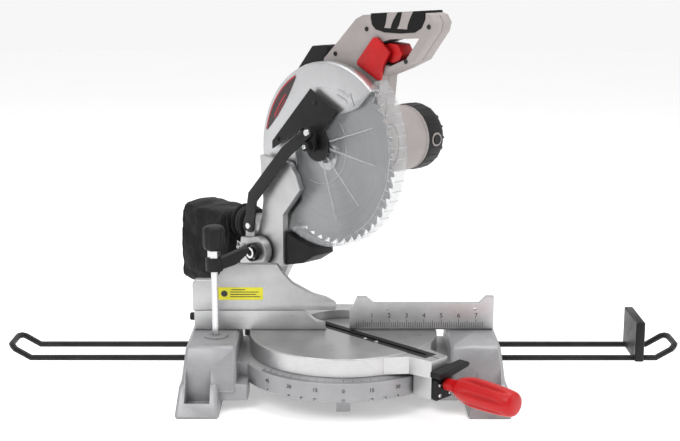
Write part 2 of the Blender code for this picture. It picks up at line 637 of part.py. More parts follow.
def make_cover_plate():
    """The dark plate that carries the lower guard's hub, with a spacer to the upper guard."""
    hub = about(ARBOR, (GUARD_AXIS.x, GUARD_AXIS.z))
    lobe = arc(hub, 0.024, 55, -165, 12)
    outline = [*from_arbor((-0.049, 0.352), (0.005, 0.325)), *lobe,
               *from_arbor((-0.062, 0.295), (-0.131, 0.256), (-0.131, 0.268))]
    cover = plate("arbor_cover_plate", outline, -0.0182, -0.0162)
    spot = about3((-0.118, 0.272), 0)
    joined(cover, disc("cover_spacer", 0.0050, -0.0172, UPPER_LEFT - GAP, spot, "Y", 16, tool=True))
    carved(cover, disc("hub_bore", 0.0068, -0.03, 0, (hub[0], 0, hub[1]), "Y", 16, tool=True))
    return placed(cover, arbor_frame, DARK_STEEL)


def make_guard_hub():
    """The lower guard's hub, with the ear that the link's pin works in."""
    hub = turned("guard_hub", [(0, -0.0120), (0.0095, -0.0120), (0.0095, -0.0158), (0.0065, -0.0158),
                               (0.0065, -0.0300), (0.0090, -0.0300), (0.0090, -0.0322), (0.0068, -0.0322),
                               (0.0068, -0.0410), (0.0055, -0.0425), (0, -0.0425)], axis="Y", steps=20)
    pin = about(GUARD_AXIS, (LINK_PIN.x, LINK_PIN.z))
    ear = [*arc((0, 0), 0.0100, 180, 360, 10), *arc(pin, 0.0100, 0, 180, 10)]
    joined(hub, plate("hub_ear", ear, -0.0315, -0.0275, tool=True))
    carved(hub, disc("pin_play", 0.0066, -0.04, -0.02, (pin[0], 0, pin[1]), "Y", 16, tool=True))
    return placed(hub, guard_frame, BLACK)


def make_lower_guard():
    """The clear guard: a left wall, a rim and a right-hand flange, turning about its hub."""
    first, last = -114.6, 42.0
    wall = 0.0018
    left, right = LOWER_LEFT, LOWER_RIGHT
    section = [(0.118, right), (LOWER_R - 0.003, right), (LOWER_R, right - 0.003), (LOWER_R, left + 0.003)]
    section += [(LOWER_R - 0.003, left), (0.0098, left), (0.0098, left + wall), (LOWER_IN - 0.003, left + wall)]
    section += [(LOWER_IN, left + 0.0035), (LOWER_IN, right - 0.0035), (LOWER_IN - 0.003, right - wall)]
    section += [(0.118, right - wall)]
    guard = turned("lower_guard", section, axis="Y", steps=64, closed=True)
    corner = (0.120 * cos(radians(last)), 0.120 * sin(radians(last)))
    missing = [corner, *arc((0, 0), 0.175, last, 360 + first, 20), (-0.058, -0.110), (-0.036, -0.086),
               (-0.050, -0.014), *arc((0, 0), 0.024, 160, 80, 5)]
    carved(guard, plate("guard_gap", missing, -0.03, 0.03, tool=True))
    return placed(guard, guard_frame, CLEAR)


def link_outline():
    """The bent bar from its anchor to the guard's pin, given from the anchor."""
    pin = about(LINK_ANCHOR, (LINK_PIN.x, LINK_PIN.z))
    path = [(0, 0), (0.008, 0.045), (0.082, 0.122), pin]
    half = (0.0105, 0.0105, 0.0095, 0.0075)
    left, right = [], []
    for i, (x, z) in enumerate(path):
        before = path[max(i - 1, 0)]
        after = path[min(i + 1, len(path) - 1)]
        slope = atan2(after[1] - before[1], after[0] - before[0])
        left.append((x - half[i] * sin(slope), z + half[i] * cos(slope)))
        right.append((x + half[i] * sin(slope), z - half[i] * cos(slope)))
    end = degrees(atan2(pin[1] - path[2][1], pin[0] - path[2][0]))
    start = degrees(atan2(path[1][1], path[1][0]))
    tip = arc(pin, half[3], end - 90, end + 90, 8)
    heel = arc((0, 0), half[0], start + 90, start + 270, 8)
    return [*heel, *right[1:3], *tip, *reversed(left[1:3])]


def make_link():
    link = plate("guard_link", link_outline(), -0.0360, -0.0331)
    carved(link, disc("link_anchor_bore", 0.0029, -0.05, 0, axis="Y", steps=12, tool=True))
    pin = about(LINK_ANCHOR, (LINK_PIN.x, LINK_PIN.z))
    carved(link, disc("link_pin_bore", 0.0029, -0.05, 0, (pin[0], 0, pin[1]), "Y", 12, tool=True))
    return placed(link, link_frame, DARK_STEEL)


def make_link_fasteners():
    anchor = turned("link_anchor_bolt", [(0, -0.0290), (0.0026, -0.0290), (0.0026, -0.0363), (0.0052, -0.0363),
                                         (0.0045, -0.0390), (0, -0.0390)], axis="Y", steps=14)
    placed(anchor, link_frame, STEEL)
    pin = about(LINK_ANCHOR, (LINK_PIN.x, LINK_PIN.z))
    stud = turned("link_pin", [(0, -0.0240), (0.0026, -0.0240), (0.0026, -0.0363), (0.0052, -0.0363),
                               (0.0045, -0.0390), (0, -0.0390)], (pin[0], 0, pin[1]), "Y", 14)
    return placed(stud, link_frame, STEEL)


def blade_outline():
    """Raked teeth: a steep face, a tip and a sloping back for each."""
    points = []
    for tooth in range(TEETH):
        start = 360 / TEETH * tooth
        for share, radius in ((0.0, BLADE_R - 0.0075), (0.12, BLADE_R), (0.38, BLADE_R - 0.0008)):
            turn = radians(start + share * 360 / TEETH)
            points.append((radius * cos(turn), radius * sin(turn)))
    return points


def make_blade():
    blade = plate("saw_blade", [blade_outline(), circle((0, 0), 0.0078, 16)], -BLADE_HALF, BLADE_HALF)
    placed(blade, arbor_frame, BLADE_STEEL)
    inner = ring("inner_flange", 0.0220, 0.0078, BLADE_HALF + GAP, 0.0072, axis="Y", steps=28)
    placed(inner, arbor_frame, STEEL)
    outer = ring("outer_flange", 0.0200, 0.0078, -0.0060, -BLADE_HALF - GAP, axis="Y", steps=28)
    placed(outer, arbor_frame, STEEL)
    bolt = turned("arbor_bolt", [(0, 0.0080), (0.0035, 0.0080), (0.0035, -0.0063), (0.0095, -0.0063),
                                 (0.0095, -0.0088), (0.0062, -0.0088), (0.0062, -0.0112), (0, -0.0112)],
                  axis="Y", steps=18)
    placed(bolt, arbor_frame, DARK_STEEL)
    spindle = turned("spindle", [(0, 0.0480), (0.0075, 0.0480), (0.0075, -0.0050), (0.0038, -0.0050),
                                 (0.0038, 0.0085), (0, 0.0085)], axis="Y", steps=20)
    return placed(spindle, arbor_frame, STEEL)


def gear_outline(teeth, phase):
    """Straight-sided teeth with backlash; the phase is a share of one pitch."""
    pitch_r = GEAR_MODULE * teeth / 2
    tip, root = pitch_r + 0.6 * GEAR_MODULE, pitch_r - 1.0 * GEAR_MODULE
    points = []
    for tooth in range(teeth):
        middle = 2 * pi * (tooth + phase) / teeth
        for share, radius in ((-0.27, root), (-0.12, tip), (0.12, tip), (0.27, root)):
            turn = middle + 2 * pi * share / teeth
            points.append((radius * cos(turn), radius * sin(turn)))
    return points


def make_gear():
    toward = degrees(atan2(MOTOR_OFFSET.z, MOTOR_OFFSET.x))
    phase = toward / 360 * GEAR_TEETH
    outline = gear_outline(GEAR_TEETH, phase)
    gear = plate("spindle_gear", [outline, circle((0, 0), 0.0078, 16)], 0.0345, 0.0445)
    return placed(gear, arbor_frame, STEEL)


def make_armature():
    """The motor shaft with its pinion, wound core and commutator."""
    back = degrees(atan2(-MOTOR_OFFSET.z, -MOTOR_OFFSET.x))
    phase = back / 360 * PINION_TEETH + 0.5
    profile = [(0, 0.1640), (0.0050, 0.1640), (0.0050, 0.1440), (0.0130, 0.1440), (0.0130, 0.1240), (0.0230, 0.1240)]
    profile += [(0.0230, 0.0780), (0.0050, 0.0780), (0.0050, 0.0700), (0.0330, 0.0700), (0.0330, 0.0640)]
    profile += [(0.0050, 0.0640), (0.0050, 0.0330), (0, 0.0330)]
    shaft = turned("armature", profile, axis="Y", steps=20)
    joined(shaft, plate("armature_pinion", gear_outline(PINION_TEETH, phase), 0.0345, 0.0445, tool=True))
    return placed(shaft, motor_frame, COPPER)


# ---------------------------------------------------------------- head: drive, motor and handle

def housing_outline(grow):
    """Two circles, about the arbor and the motor's axis, joined by straight sides."""
    a_r, m_r = 0.044 + grow, 0.0475 + grow
    toward = degrees(atan2(MOTOR_OFFSET.z, MOTOR_OFFSET.x))
    motor = (MOTOR_OFFSET.x, MOTOR_OFFSET.z)
    return [*arc(motor, m_r, toward - 95, toward + 95, 18), *arc((0, 0), a_r, toward + 95, toward + 265, 16)]


def make_gear_housing():
    housing = plate("gear_housing", housing_outline(0), HOUSING_LEFT, HOUSING_RIGHT)
    motor = (MOTOR_OFFSET.x, 0, MOTOR_OFFSET.z)
    carved(housing, plate("gear_room", housing_outline(-0.005), 0.0300, 0.0540, tool=True))
    carved(housing, disc("motor_opening", 0.0380, 0.050, 0.070, motor, "Y", 28, tool=True))
    carved(housing, disc("bearing_seat", 0.0163, 0.0215, 0.040, axis="Y", steps=24, tool=True))
    carved(housing, disc("spindle_bore", 0.0085, 0.010, 0.030, axis="Y", steps=16, tool=True))
    return placed(housing, arbor_frame, GREY_SHELL)


def make_bearing():
    return placed(ring("spindle_bearing", 0.0160, 0.0078, 0.0218, 0.0330, axis="Y", steps=24), arbor_frame, STEEL)


def make_motor():
    inner = MOTOR_R - 0.006
    profile = [(MOTOR_R, MOTOR_END - 0.004), (MOTOR_R, HOUSING_RIGHT + GAP), (inner, HOUSING_RIGHT + GAP)]
    profile += [(inner, MOTOR_END), (MOTOR_R - 0.002, MOTOR_END)]
    housing = turned("motor_housing", profile, axis="Y", steps=32, closed=True)
    for side, sign in (("front", 1), ("rear", -1)):
        place = (0, BRUSH_AT, 0)
        near, far = box_of(sign, inner + 0.0015, MOTOR_R + 0.002)
        joined(housing, disc(f"brush_boss_{side}", 0.0102, near, far, place, "X", 18, tool=True))
        near, far = box_of(sign, inner - 0.010, MOTOR_R + 0.010)
        carved(housing, disc(f"brush_well_{side}", 0.0074, near, far, place, "X", 16, tool=True))
    carved(housing, disc("button_well", 0.0067, 0.030, 0.060, (0, 0.0660, 0), steps=15, tool=True))
    placed(housing, motor_frame, GREY_SHELL)
    profile = [(0, 0.1700), (0.0250, 0.1700), (0.0400, 0.1640), (0.0465, 0.1560), (MOTOR_R, MOTOR_END + GAP)]
    profile += [(0.0440, MOTOR_END + GAP), (0.0400, 0.1580), (0.0260, 0.1655), (0, 0.1655)]
    return placed(turned("motor_end_cap", profile, axis="Y", steps=32), motor_frame, BLACK)


def make_field():
    field = ring("field_core", MOTOR_R - 0.0065, 0.0238, 0.0800, 0.1220, axis="Y", steps=28)
    return placed(field, motor_frame, DARK_STEEL)


def make_brushes():
    for side, sign in (("front", 1), ("rear", -1)):
        near, far = box_of(sign, MOTOR_R - 0.0060, MOTOR_R + 0.0035)
        placed(disc(f"brush_cap_{side}", 0.0070, near, far, (0, BRUSH_AT, 0), "X", 16), motor_frame, BLACK)
        near, far = box_of(sign, 0.0133, MOTOR_R - 0.0064)
        brush = block(f"carbon_brush_{side}", (near, BRUSH_AT - 0.004, -0.0032), (far, BRUSH_AT + 0.004, 0.0032))
        placed(brush, motor_frame, DARK_STEEL)


def handle_outline():
    """The closed handle and its neck, which sits on the housing round the motor's axis."""
    motor = (MOTOR_OFFSET.x, MOTOR_OFFSET.z)
    foot = arc(motor, 0.0478 + GAP, 128, 38, 10)
    return [*foot, *from_arbor((0.052, 0.374), (0.084, 0.386), (0.114, 0.399), (0.147, 0.440), (0.150, 0.452),
                               (0.143, 0.462), (0.128, 0.4655), (0.050, 0.459), (0.018, 0.457), (0.004, 0.451),
                               (-0.028, 0.421), (-0.060, 0.392), (-0.068, 0.350), (-0.058, 0.328))]


def finger_opening():
    return from_arbor((0.070, 0.389), (0.100, 0.401), (0.123, 0.430), (0.070, 0.426), (0.054, 0.421), (0.052, 0.392))


def make_handle():
    """Two shells with the switch's room between them."""
    room_low, room_high = HANDLE_LEFT + 0.004, HANDLE_RIGHT - 0.004
    for name, low, high in (("handle_left_shell", HANDLE_LEFT, HANDLE_MID),
                            ("handle_right_shell", HANDLE_MID + GAP, HANDLE_RIGHT)):
        shell = plate(name, [handle_outline(), finger_opening()], low, high)
        room = block(f"{name}_room", about3((0.012, 0.3935), room_low), about3((0.056, 0.4195), room_high), 0, True)
        seat = plate(f"{name}_grip_seat", grip_outline(GAP), low - 0.001, high + 0.001, tool=True)
        carved(shell, room, seat)
        placed(shell, arbor_frame, GREY_SHELL)
    left = parts.objects["handle_left_shell"]
    bore = disc("release_bore", 0.0043, 0.010, 0.030, about3((0.036, 0.408), 0), "Y", 14, tool=True)
    carved(left, bore)
    placed(bore, arbor_frame)


def grip_outline(grow):
    """The rubber inlay along the top of the grip."""
    points = [(0.034, 0.480), (0.034, 0.4515), (0.060, 0.4460), (0.108, 0.4500), (0.133, 0.4555), (0.133, 0.480)]
    middle = (0.084, 0.466)
    grown = [(x + (grow if x > middle[0] else -grow), z + (grow if z > middle[1] else -grow)) for x, z in points]
    return from_arbor(*grown)


def make_grip():
    """The rubber inlay, cut to the top line of the handle."""
    pad = plate("grip_pad", grip_outline(0), HANDLE_LEFT, HANDLE_RIGHT)
    top = from_arbor((0.000, 0.4590), (0.050, 0.4602), (0.128, 0.4668), (0.160, 0.4668), (0.160, 0.500), (0, 0.500))
    carved(pad, plate("grip_top", top, 0.0, 0.08, tool=True))
    return placed(pad, arbor_frame, RUBBER)


def about_frame(holder, *points):
    """Saw-plane points given from a frame that hangs on the arbor's frame."""
    return [about(ARBOR + holder.location, point) for point in points]


def make_trigger():
    outline = about_frame(trigger_frame, (0.048, 0.418), (0.048, 0.395), (0.058, 0.3945), (0.071, 0.3925),
                          (0.083, 0.3965), (0.0885, 0.406), (0.080, 0.419), (0.064, 0.4205), (0.056, 0.418))
    return placed(plate("trigger", outline, HANDLE_LEFT + 0.0045, HANDLE_RIGHT - 0.0045), trigger_frame, RED)


def make_release():
    """The thumb lever on the handle's left side that frees the lower guard."""
    outline = about_frame(release_frame, (0.012, 0.388), (0.012, 0.393), (0.043, 0.4275), (0.050, 0.4275),
                          (0.0735, 0.4085), (0.062, 0.390), (0.056, 0.369), (0.051, 0.369))
    lever = plate("guard_release_lever", outline, 0.0150, 0.0196)
    joined(lever, disc("release_pivot", 0.004, 0.0190, 0.0238, axis="Y", steps=12, tool=True))
    return placed(lever, release_frame, RED)


def make_switch():
    low = about3((0.0150, 0.3960), HANDLE_LEFT + 0.006)
    high = about3((0.0410, 0.4170), HANDLE_RIGHT - 0.006)
    return placed(block("trigger_switch", low, high), arbor_frame, BLACK)


def make_carry_handle():
    outline = from_arbor((-0.0684, 0.351), (-0.0605, 0.3925), (-0.054, 0.402), (-0.056, 0.411), (-0.088, 0.408),
                         (-0.118, 0.374), (-0.114, 0.356))
    grip = plate("carry_handle", outline, 0.0225, 0.0500)
    rounded(grip, 0.0015)
    return placed(grip, arbor_frame, BLACK)


def make_lock_button():
    button = turned("spindle_lock_button", [(0, 0), (0.0062, 0), (0.0062, -0.0135), (0, -0.0135)], steps=16)
    return placed(button, button_frame, BLACK)


def make_chute():
    """The black catcher behind and under the blade, between the arm's cheeks."""
    centre = about(ARBOR, (GUARD_AXIS.x, GUARD_AXIS.z))
    crescent = arc(centre, 0.1515, -114.5, -92, 8)
    outline = [*crescent, *from_arbor((-0.040, 0.108), (-0.066, 0.092), (-0.1025, 0.083))]
    return placed(plate("dust_chute", outline, -0.0200, 0.0200), arbor_frame, BLACK)


def make_bag():
    """The bag's outer form, hollow, with a collar over the arm's dust port."""
    low, high, wall = Vector((-0.345, -0.036, 0.026)), Vector((-0.2200, 0.048, 0.152)), Vector((1, 1, 1)) * 0.004
    bag = block("dust_bag", low - ARBOR, high - ARBOR, 0.012)
    collar = disc("bag_collar", 0.0215, -0.1950, -0.1600, about3((ARBOR.x, 0.130), 0.002), "X", 20, tool=True)
    mouth = disc("bag_mouth", 0.0173, -0.2050, -0.1500, about3((ARBOR.x, 0.130), 0.002), "X", 20, tool=True)
    joined(bag, collar)
    carved(bag, block("bag_room", low + wall - ARBOR, high - wall - ARBOR, 0.009, True), mouth)
    return placed(bag, arbor_frame, CLOTH)


def make_cable_inlet():
    """The hollow inlet behind the gear housing."""
    profile = [(0.0085, -0.0443), (0.0085, -0.0520), (0.0062, -0.0665), (0.0036, -0.0665), (0.0036, -0.0443)]
    inlet = turned("cable_gland", profile, (0, 0.0450, 0), "X", 16, closed=True)
    return placed(inlet, arbor_frame, BLACK)


# ---------------------------------------------------------------- the whole saw

make_base()
make_pivot_bolt()
make_fence()
make_sliding_fence()
make_fence_lock()
make_extension(-1)
make_extension(1)
make_stop()
make_clamp()
make_turntable()
make_insert()
make_arm_bracket()
make_detent_lever()
make_mitre_lock()
make_bevel_post()
make_bevel_bolt()
make_bevel_lever()
make_pivot_shaft()
make_spring()
make_lock_pin()
make_head_arm()
make_upper_guard()
make_cover_plate()
make_guard_hub()
make_lower_guard()
make_link()
make_link_fasteners()
make_blade()
make_gear()
make_armature()
make_gear_housing()
make_bearing()
make_motor()
make_field()
make_brushes()
make_handle()
make_grip()
make_trigger()
make_release()
make_switch()
make_carry_handle()
make_lock_button()
make_chute()
make_bag()
make_cable_inlet()
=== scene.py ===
"""Looks of the compound miter saw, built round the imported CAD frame.

All lengths are metres in the CAD's own frame. Pieces on the turntable and the head are drawn as
(u, v, z): u along the arm towards the operator, v to the operator's right, z up from the table top,
and SAW takes them to the world. Pieces on the base, fence and clamp are drawn as (x, y, z) from
the middle of the table top, and TABLE takes them there.
"""
from math import atan2, cos, hypot, pi, radians, sin

import bmesh
import bpy
from mathutils import Matrix, Vector, noise
from mathutils.bvhtree import BVHTree


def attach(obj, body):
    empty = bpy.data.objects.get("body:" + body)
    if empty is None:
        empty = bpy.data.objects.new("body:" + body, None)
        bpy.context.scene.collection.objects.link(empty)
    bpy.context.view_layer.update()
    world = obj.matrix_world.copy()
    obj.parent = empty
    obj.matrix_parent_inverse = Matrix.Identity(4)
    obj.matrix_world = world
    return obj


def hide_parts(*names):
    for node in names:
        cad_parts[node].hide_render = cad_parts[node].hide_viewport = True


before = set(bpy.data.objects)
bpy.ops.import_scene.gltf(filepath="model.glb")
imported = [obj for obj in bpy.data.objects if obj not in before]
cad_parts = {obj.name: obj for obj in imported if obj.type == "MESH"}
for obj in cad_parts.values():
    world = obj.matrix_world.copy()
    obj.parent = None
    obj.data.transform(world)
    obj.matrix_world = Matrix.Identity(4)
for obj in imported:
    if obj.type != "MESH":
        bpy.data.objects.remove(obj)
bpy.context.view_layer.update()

INCH = 0.0254
WORLD = Matrix.Identity(4)
TABLE = Matrix.Translation((0, 0, 0.088))
SAW = TABLE @ Matrix.Rotation(radians(-45), 4, "Z")
FROM_WORLD = SAW.inverted()

# Where the axes of the blade, the lower guard and the motor cross the saw's plane.
ARBOR = Vector((-0.028, 0, 0.255))
GUARD = Vector((-0.036, 0, 0.272))
MOTOR = Vector((0.006, 0, 0.273))

CREASE = 34           # degrees: a sharper edge than this isn't shaded smooth
ROUNDED_FROM = 38     # degrees: a sharper edge than this gets its rounding
EDGE_SAMPLES = 4      # of the shader nodes that look round a corner
HOLLOW_REACH = 0.012  # how far the painted shade spreads out of a corner


# ---------------------------------------------------------------- shader helpers

def add(tree, kind, inputs=None, **settings):
    """A new node with some of its sockets and settings filled in."""
    made = tree.nodes.new(kind)
    for key, value in settings.items():
        setattr(made, key, value)
    for key, value in (inputs or {}).items():
        made.inputs[key].default_value = value
    return made


def ramp(tree, source, stops):
    """A colour ramp on a source, with stops of (place, grey or colour)."""
    made = add(tree, "ShaderNodeValToRGB")
    points = made.color_ramp.elements
    while len(points) < len(stops):
        points.new(0.5)
    for point, (place, value) in zip(points, stops):
        point.position = place
        colour = value if isinstance(value, tuple) else (value, value, value)
        point.color = (*colour, 1)
    tree.links.new(source, made.inputs["Fac"])
    return made.outputs["Color"]


def mixed(tree, factor, first, second, blend="MIX"):
    """A colour mix of sockets, colours or plain numbers."""
    made = add(tree, "ShaderNodeMix", data_type="RGBA", blend_type=blend)
    sockets = made.inputs[0], made.inputs[6], made.inputs[7]
    for socket, value in zip(sockets, (factor, first, second)):
        if isinstance(value, bpy.types.NodeSocket):
            tree.links.new(value, socket)
        elif isinstance(value, tuple):
            socket.default_value = (*value, 1)
        else:
            socket.default_value = value
    return made.outputs[2]


def tinted(colour, share):
    return tuple(min(1.0, c * share) for c in colour)


# Painted shade: darkens the colour where ambient occlusion finds a hollow.
def dirty_hollows(tree, tone, hollow_shade):
    hollow = add(tree, "ShaderNodeAmbientOcclusion", {"Distance": HOLLOW_REACH},
                 samples=EDGE_SAMPLES)
    shade = ramp(tree, hollow.outputs["AO"], ((0.35, 1 - hollow_shade), (0.9, 1.0)))
    return mixed(tree, 1.0, tone, shade, "MULTIPLY")


def worn_edges(tree, tone, patches, wear, worn, edge):
    """Shows the worn colour where a widely rounded normal leaves the true one, in patches."""
    wide = add(tree, "ShaderNodeBevel", {"Radius": edge * 2.2}, samples=EDGE_SAMPLES)
    true = add(tree, "ShaderNodeNewGeometry")
    dot = add(tree, "ShaderNodeVectorMath", operation="DOT_PRODUCT")
    tree.links.new(wide.outputs["Normal"], dot.inputs[0])
    tree.links.new(true.outputs["Normal"], dot.inputs[1])
    bare = ramp(tree, dot.outputs["Value"], ((0.80, 1.0), (0.985, 0.0)))
    patchy = ramp(tree, patches, ((0.42, 0.15), (0.62, 1.0)))
    mask = mixed(tree, 1.0, bare, patchy, "MULTIPLY")
    mask = mixed(tree, 1.0, mask, (wear, wear, wear), "MULTIPLY")
    return mixed(tree, mask, tone, worn)


# ---------------------------------------------------------------- materials

def surface(name, colour, roughness, metallic=0.0, mottle=0.10, patch=30, grain=900, depth=0.25,
            spread=0.10, stretch=(1, 1, 1), wear=0.0, worn=(0.55, 0.55, 0.55), edge=0.0007,
            hollow_shade=0.0, shader=None):
    """A finish with broad colour patches, and fine grain in its bump and roughness.

    mottle is how far the colour strays and spread how far the roughness does. patch and grain are
    the scales of the broad and the fine noise, stretch draws the fine one out, and depth is the
    strength of its bump. edge is the radius of the softened edges, on which wear shows the colour
    worn. The argument after edge darkens the hollows with painted shade, from ambient occlusion,
    and shader sets further sockets of the shader.
    """
    made = bpy.data.materials.new(name)
    made.use_nodes = True
    tree = made.node_tree
    link = tree.links.new
    body = tree.nodes["Principled BSDF"]
    body.inputs["Metallic"].default_value = metallic
    for key, value in (shader or {}).items():
        body.inputs[key].default_value = value
    where = add(tree, "ShaderNodeTexCoord").outputs["Object"]
    mapping = add(tree, "ShaderNodeMapping", {"Scale": stretch})
    broad = add(tree, "ShaderNodeTexNoise", {"Scale": patch, "Detail": 4.0, "Roughness": 0.6})
    fine = add(tree, "ShaderNodeTexNoise", {"Scale": grain, "Detail": 3.0, "Roughness": 0.65})
    link(where, mapping.inputs["Vector"])
    link(where, broad.inputs["Vector"])
    link(mapping.outputs["Vector"], fine.inputs["Vector"])

    tone = ramp(tree, broad.outputs["Fac"],
                ((0.3, tinted(colour, 1 - mottle)), (0.7, tinted(colour, 1 + mottle))))
    speck = ramp(tree, fine.outputs["Fac"], ((0.35, 1 - mottle * 0.8), (0.65, 1.0)))
    tone = mixed(tree, 1.0, tone, speck, "MULTIPLY")
    # Painted shade: the colour is darker in the hollows, from ambient occlusion.
    if hollow_shade:
        tone = dirty_hollows(tree, tone, hollow_shade)
    if wear:
        tone = worn_edges(tree, tone, broad.outputs["Fac"], wear, worn, edge)
    link(tone, body.inputs["Base Color"])

    both = add(tree, "ShaderNodeMath", operation="ADD")
    link(fine.outputs["Fac"], both.inputs[0])
    link(broad.outputs["Fac"], both.inputs[1])
    gloss = add(tree, "ShaderNodeMapRange",
                {"From Min": 0.7, "From Max": 1.3,
                 "To Min": max(0.03, roughness - spread), "To Max": roughness + spread})
    link(both.outputs[0], gloss.inputs["Value"])
    link(gloss.outputs["Result"], body.inputs["Roughness"])

    soft = add(tree, "ShaderNodeBevel", {"Radius": edge}, samples=EDGE_SAMPLES)
    bump = add(tree, "ShaderNodeBump", {"Strength": depth, "Distance": 0.0003})
    link(fine.outputs["Fac"], bump.inputs["Height"])
    link(soft.outputs["Normal"], bump.inputs["Normal"])
    link(bump.outputs["Normal"], body.inputs["Normal"])
    return made


def spun_steel():
    """Blade steel with fine rings round the arbor."""
    made = surface("blade_steel_spun", (0.30, 0.30, 0.31), 0.30, 1.0, mottle=0.05, grain=400,
                   depth=0.05)
    tree = made.node_tree
    link = tree.links.new
    body = tree.nodes["Principled BSDF"]
    where = add(tree, "ShaderNodeTexCoord").outputs["Object"]
    away = add(tree, "ShaderNodeVectorMath", {1: SAW @ ARBOR}, operation="DISTANCE")
    link(where, away.inputs[0])
    rings = add(tree, "ShaderNodeTexNoise", {"Scale": 2200.0, "Detail": 2.0},
                noise_dimensions="1D")
    link(away.outputs["Value"], rings.inputs["W"])
    bump = add(tree, "ShaderNodeBump", {"Strength": 0.35, "Distance": 0.0002})
    link(rings.outputs["Fac"], bump.inputs["Height"])
    link(bump.outputs["Normal"], body.inputs["Normal"])
    gloss = add(tree, "ShaderNodeMapRange", {"To Min": 0.2, "To Max": 0.42})
    link(rings.outputs["Fac"], gloss.inputs["Value"])
    link(gloss.outputs["Result"], body.inputs["Roughness"])
    return made


def clear_plastic(name, thin, thick, roughness):
    """Clear polycarbonate with fine scratches, denser where the wall turns away."""
    made = surface(name, (0.62, 0.64, 0.65), roughness, mottle=0.04, grain=260, depth=0.12,
                   stretch=(1, 1, 0.25), shader={"Specular IOR Level": 0.8})
    tree = made.node_tree
    facing = add(tree, "ShaderNodeLayerWeight", {"Blend": 0.35})
    dense = add(tree, "ShaderNodeMapRange",
                {"From Min": 0.2, "From Max": 1.0, "To Min": thin, "To Max": thick})
    tree.links.new(facing.outputs["Facing"], dense.inputs["Value"])
    tree.links.new(dense.outputs["Result"], tree.nodes["Principled BSDF"].inputs["Alpha"])
    return made


def woven(name, colour):
    """Nylon pack cloth: crossed threads, a soft sheen and small rumples."""
    made = surface(name, colour, 0.78, mottle=0.35, patch=22, grain=1500, depth=0.2,
                   shader={"Sheen Weight": 0.12, "Sheen Roughness": 0.4,
                           "Specular IOR Level": 0.2})
    tree = made.node_tree
    link = tree.links.new
    body = tree.nodes["Principled BSDF"]
    where = add(tree, "ShaderNodeTexCoord").outputs["Object"]
    weave = add(tree, "ShaderNodeMath", operation="MAXIMUM")
    for socket, direction in zip(weave.inputs, ("X", "Z")):
        threads = add(tree, "ShaderNodeTexWave",
                      {"Scale": 260.0, "Distortion": 0.6, "Detail": 1.0},
                      bands_direction=direction)
        link(where, threads.inputs["Vector"])
        link(threads.outputs["Fac"], socket)
    rumple = add(tree, "ShaderNodeTexNoise", {"Scale": 70.0, "Detail": 3.0, "Distortion": 0.8})
    link(where, rumple.inputs["Vector"])
    coarse = add(tree, "ShaderNodeBump", {"Strength": 0.5, "Distance": 0.003})
    link(rumple.outputs["Fac"], coarse.inputs["Height"])
    bump = add(tree, "ShaderNodeBump", {"Strength": 0.5, "Distance": 0.0004})
    link(weave.outputs[0], bump.inputs["Height"])
    link(coarse.outputs["Normal"], bump.inputs["Normal"])
    link(bump.outputs["Normal"], body.inputs["Normal"])
    return made


# The hollow darkening given to these finishes is painted shade, from ambient occlusion.
PAINT = surface("base_hammer_paint", (0.36, 0.36, 0.37), 0.42, 0.35, mottle=0.08, grain=420,
                depth=0.35, wear=0.7, worn=(0.62, 0.62, 0.62), edge=0.0012, hollow_shade=0.45)
CAST = surface("cast_aluminium_raw", (0.56, 0.56, 0.565), 0.40, 0.85, grain=600, depth=0.20,
               wear=0.3, worn=(0.80, 0.80, 0.80), edge=0.0010, hollow_shade=0.55)
MILLED = surface("milled_aluminium", (0.58, 0.58, 0.585), 0.33, 0.9, mottle=0.08, grain=500,
                 depth=0.12, stretch=(0.06, 1, 1), spread=0.06, edge=0.0008, hollow_shade=0.45)
GUARD_CAST = surface("polished_cast_guard", (0.62, 0.62, 0.63), 0.32, 0.85, mottle=0.05,
                     grain=420, depth=0.05, spread=0.05, edge=0.0012, hollow_shade=0.25)
STEEL = surface("bright_turned_steel", (0.70, 0.70, 0.71), 0.22, 1.0, mottle=0.05, grain=1400,
                depth=0.12, stretch=(1, 1, 0.1), edge=0.0005, hollow_shade=0.3)
BLADE = spun_steel()
DARK = surface("black_powder_coat", (0.014, 0.014, 0.015), 0.42, 0.1, mottle=0.25, grain=1100,
               depth=0.45, wear=0.45, worn=(0.25, 0.25, 0.25), edge=0.0006,
               shader={"Specular IOR Level": 0.25})
BLACK = surface("black_moulded_nylon", (0.010, 0.010, 0.011), 0.48, mottle=0.3, grain=1300,
                depth=0.5, wear=0.25, worn=(0.10, 0.10, 0.10), edge=0.0008,
                shader={"Specular IOR Level": 0.25})
RUBBER = surface("grip_rubber", (0.008, 0.008, 0.008), 0.68, mottle=0.3, grain=1800, depth=0.7,
                 edge=0.0010, shader={"Specular IOR Level": 0.2})
RED = surface("red_moulded_plastic", (0.50, 0.004, 0.006), 0.36, mottle=0.12, depth=0.2,
              wear=0.35, worn=(0.75, 0.10, 0.08), edge=0.0009, hollow_shade=0.4,
              shader={"Specular IOR Level": 0.35})
SHELL = surface("warm_grey_housing", (0.34, 0.305, 0.298), 0.50, mottle=0.06, grain=1200,
                depth=0.5, wear=0.25, worn=(0.48, 0.44, 0.43), edge=0.0012, hollow_shade=0.55)
COPPER = surface("enamelled_copper", (0.62, 0.27, 0.12), 0.35, 1.0, mottle=0.15, grain=1500,
                 depth=0.5, stretch=(1, 1, 0.2))
CLOTH = woven("pack_cloth", (0.009, 0.009, 0.010))
PIPING = woven("piping_tape", (0.030, 0.030, 0.032))
CLEAR = clear_plastic("clear_guard_wall", 0.10, 0.62, 0.10)
CLEAR_RIB = clear_plastic("clear_guard_rib", 0.30, 0.7, 0.15)
INK = surface("engraved_ink", (0.05, 0.05, 0.05), 0.6, mottle=0.3, depth=0.1)
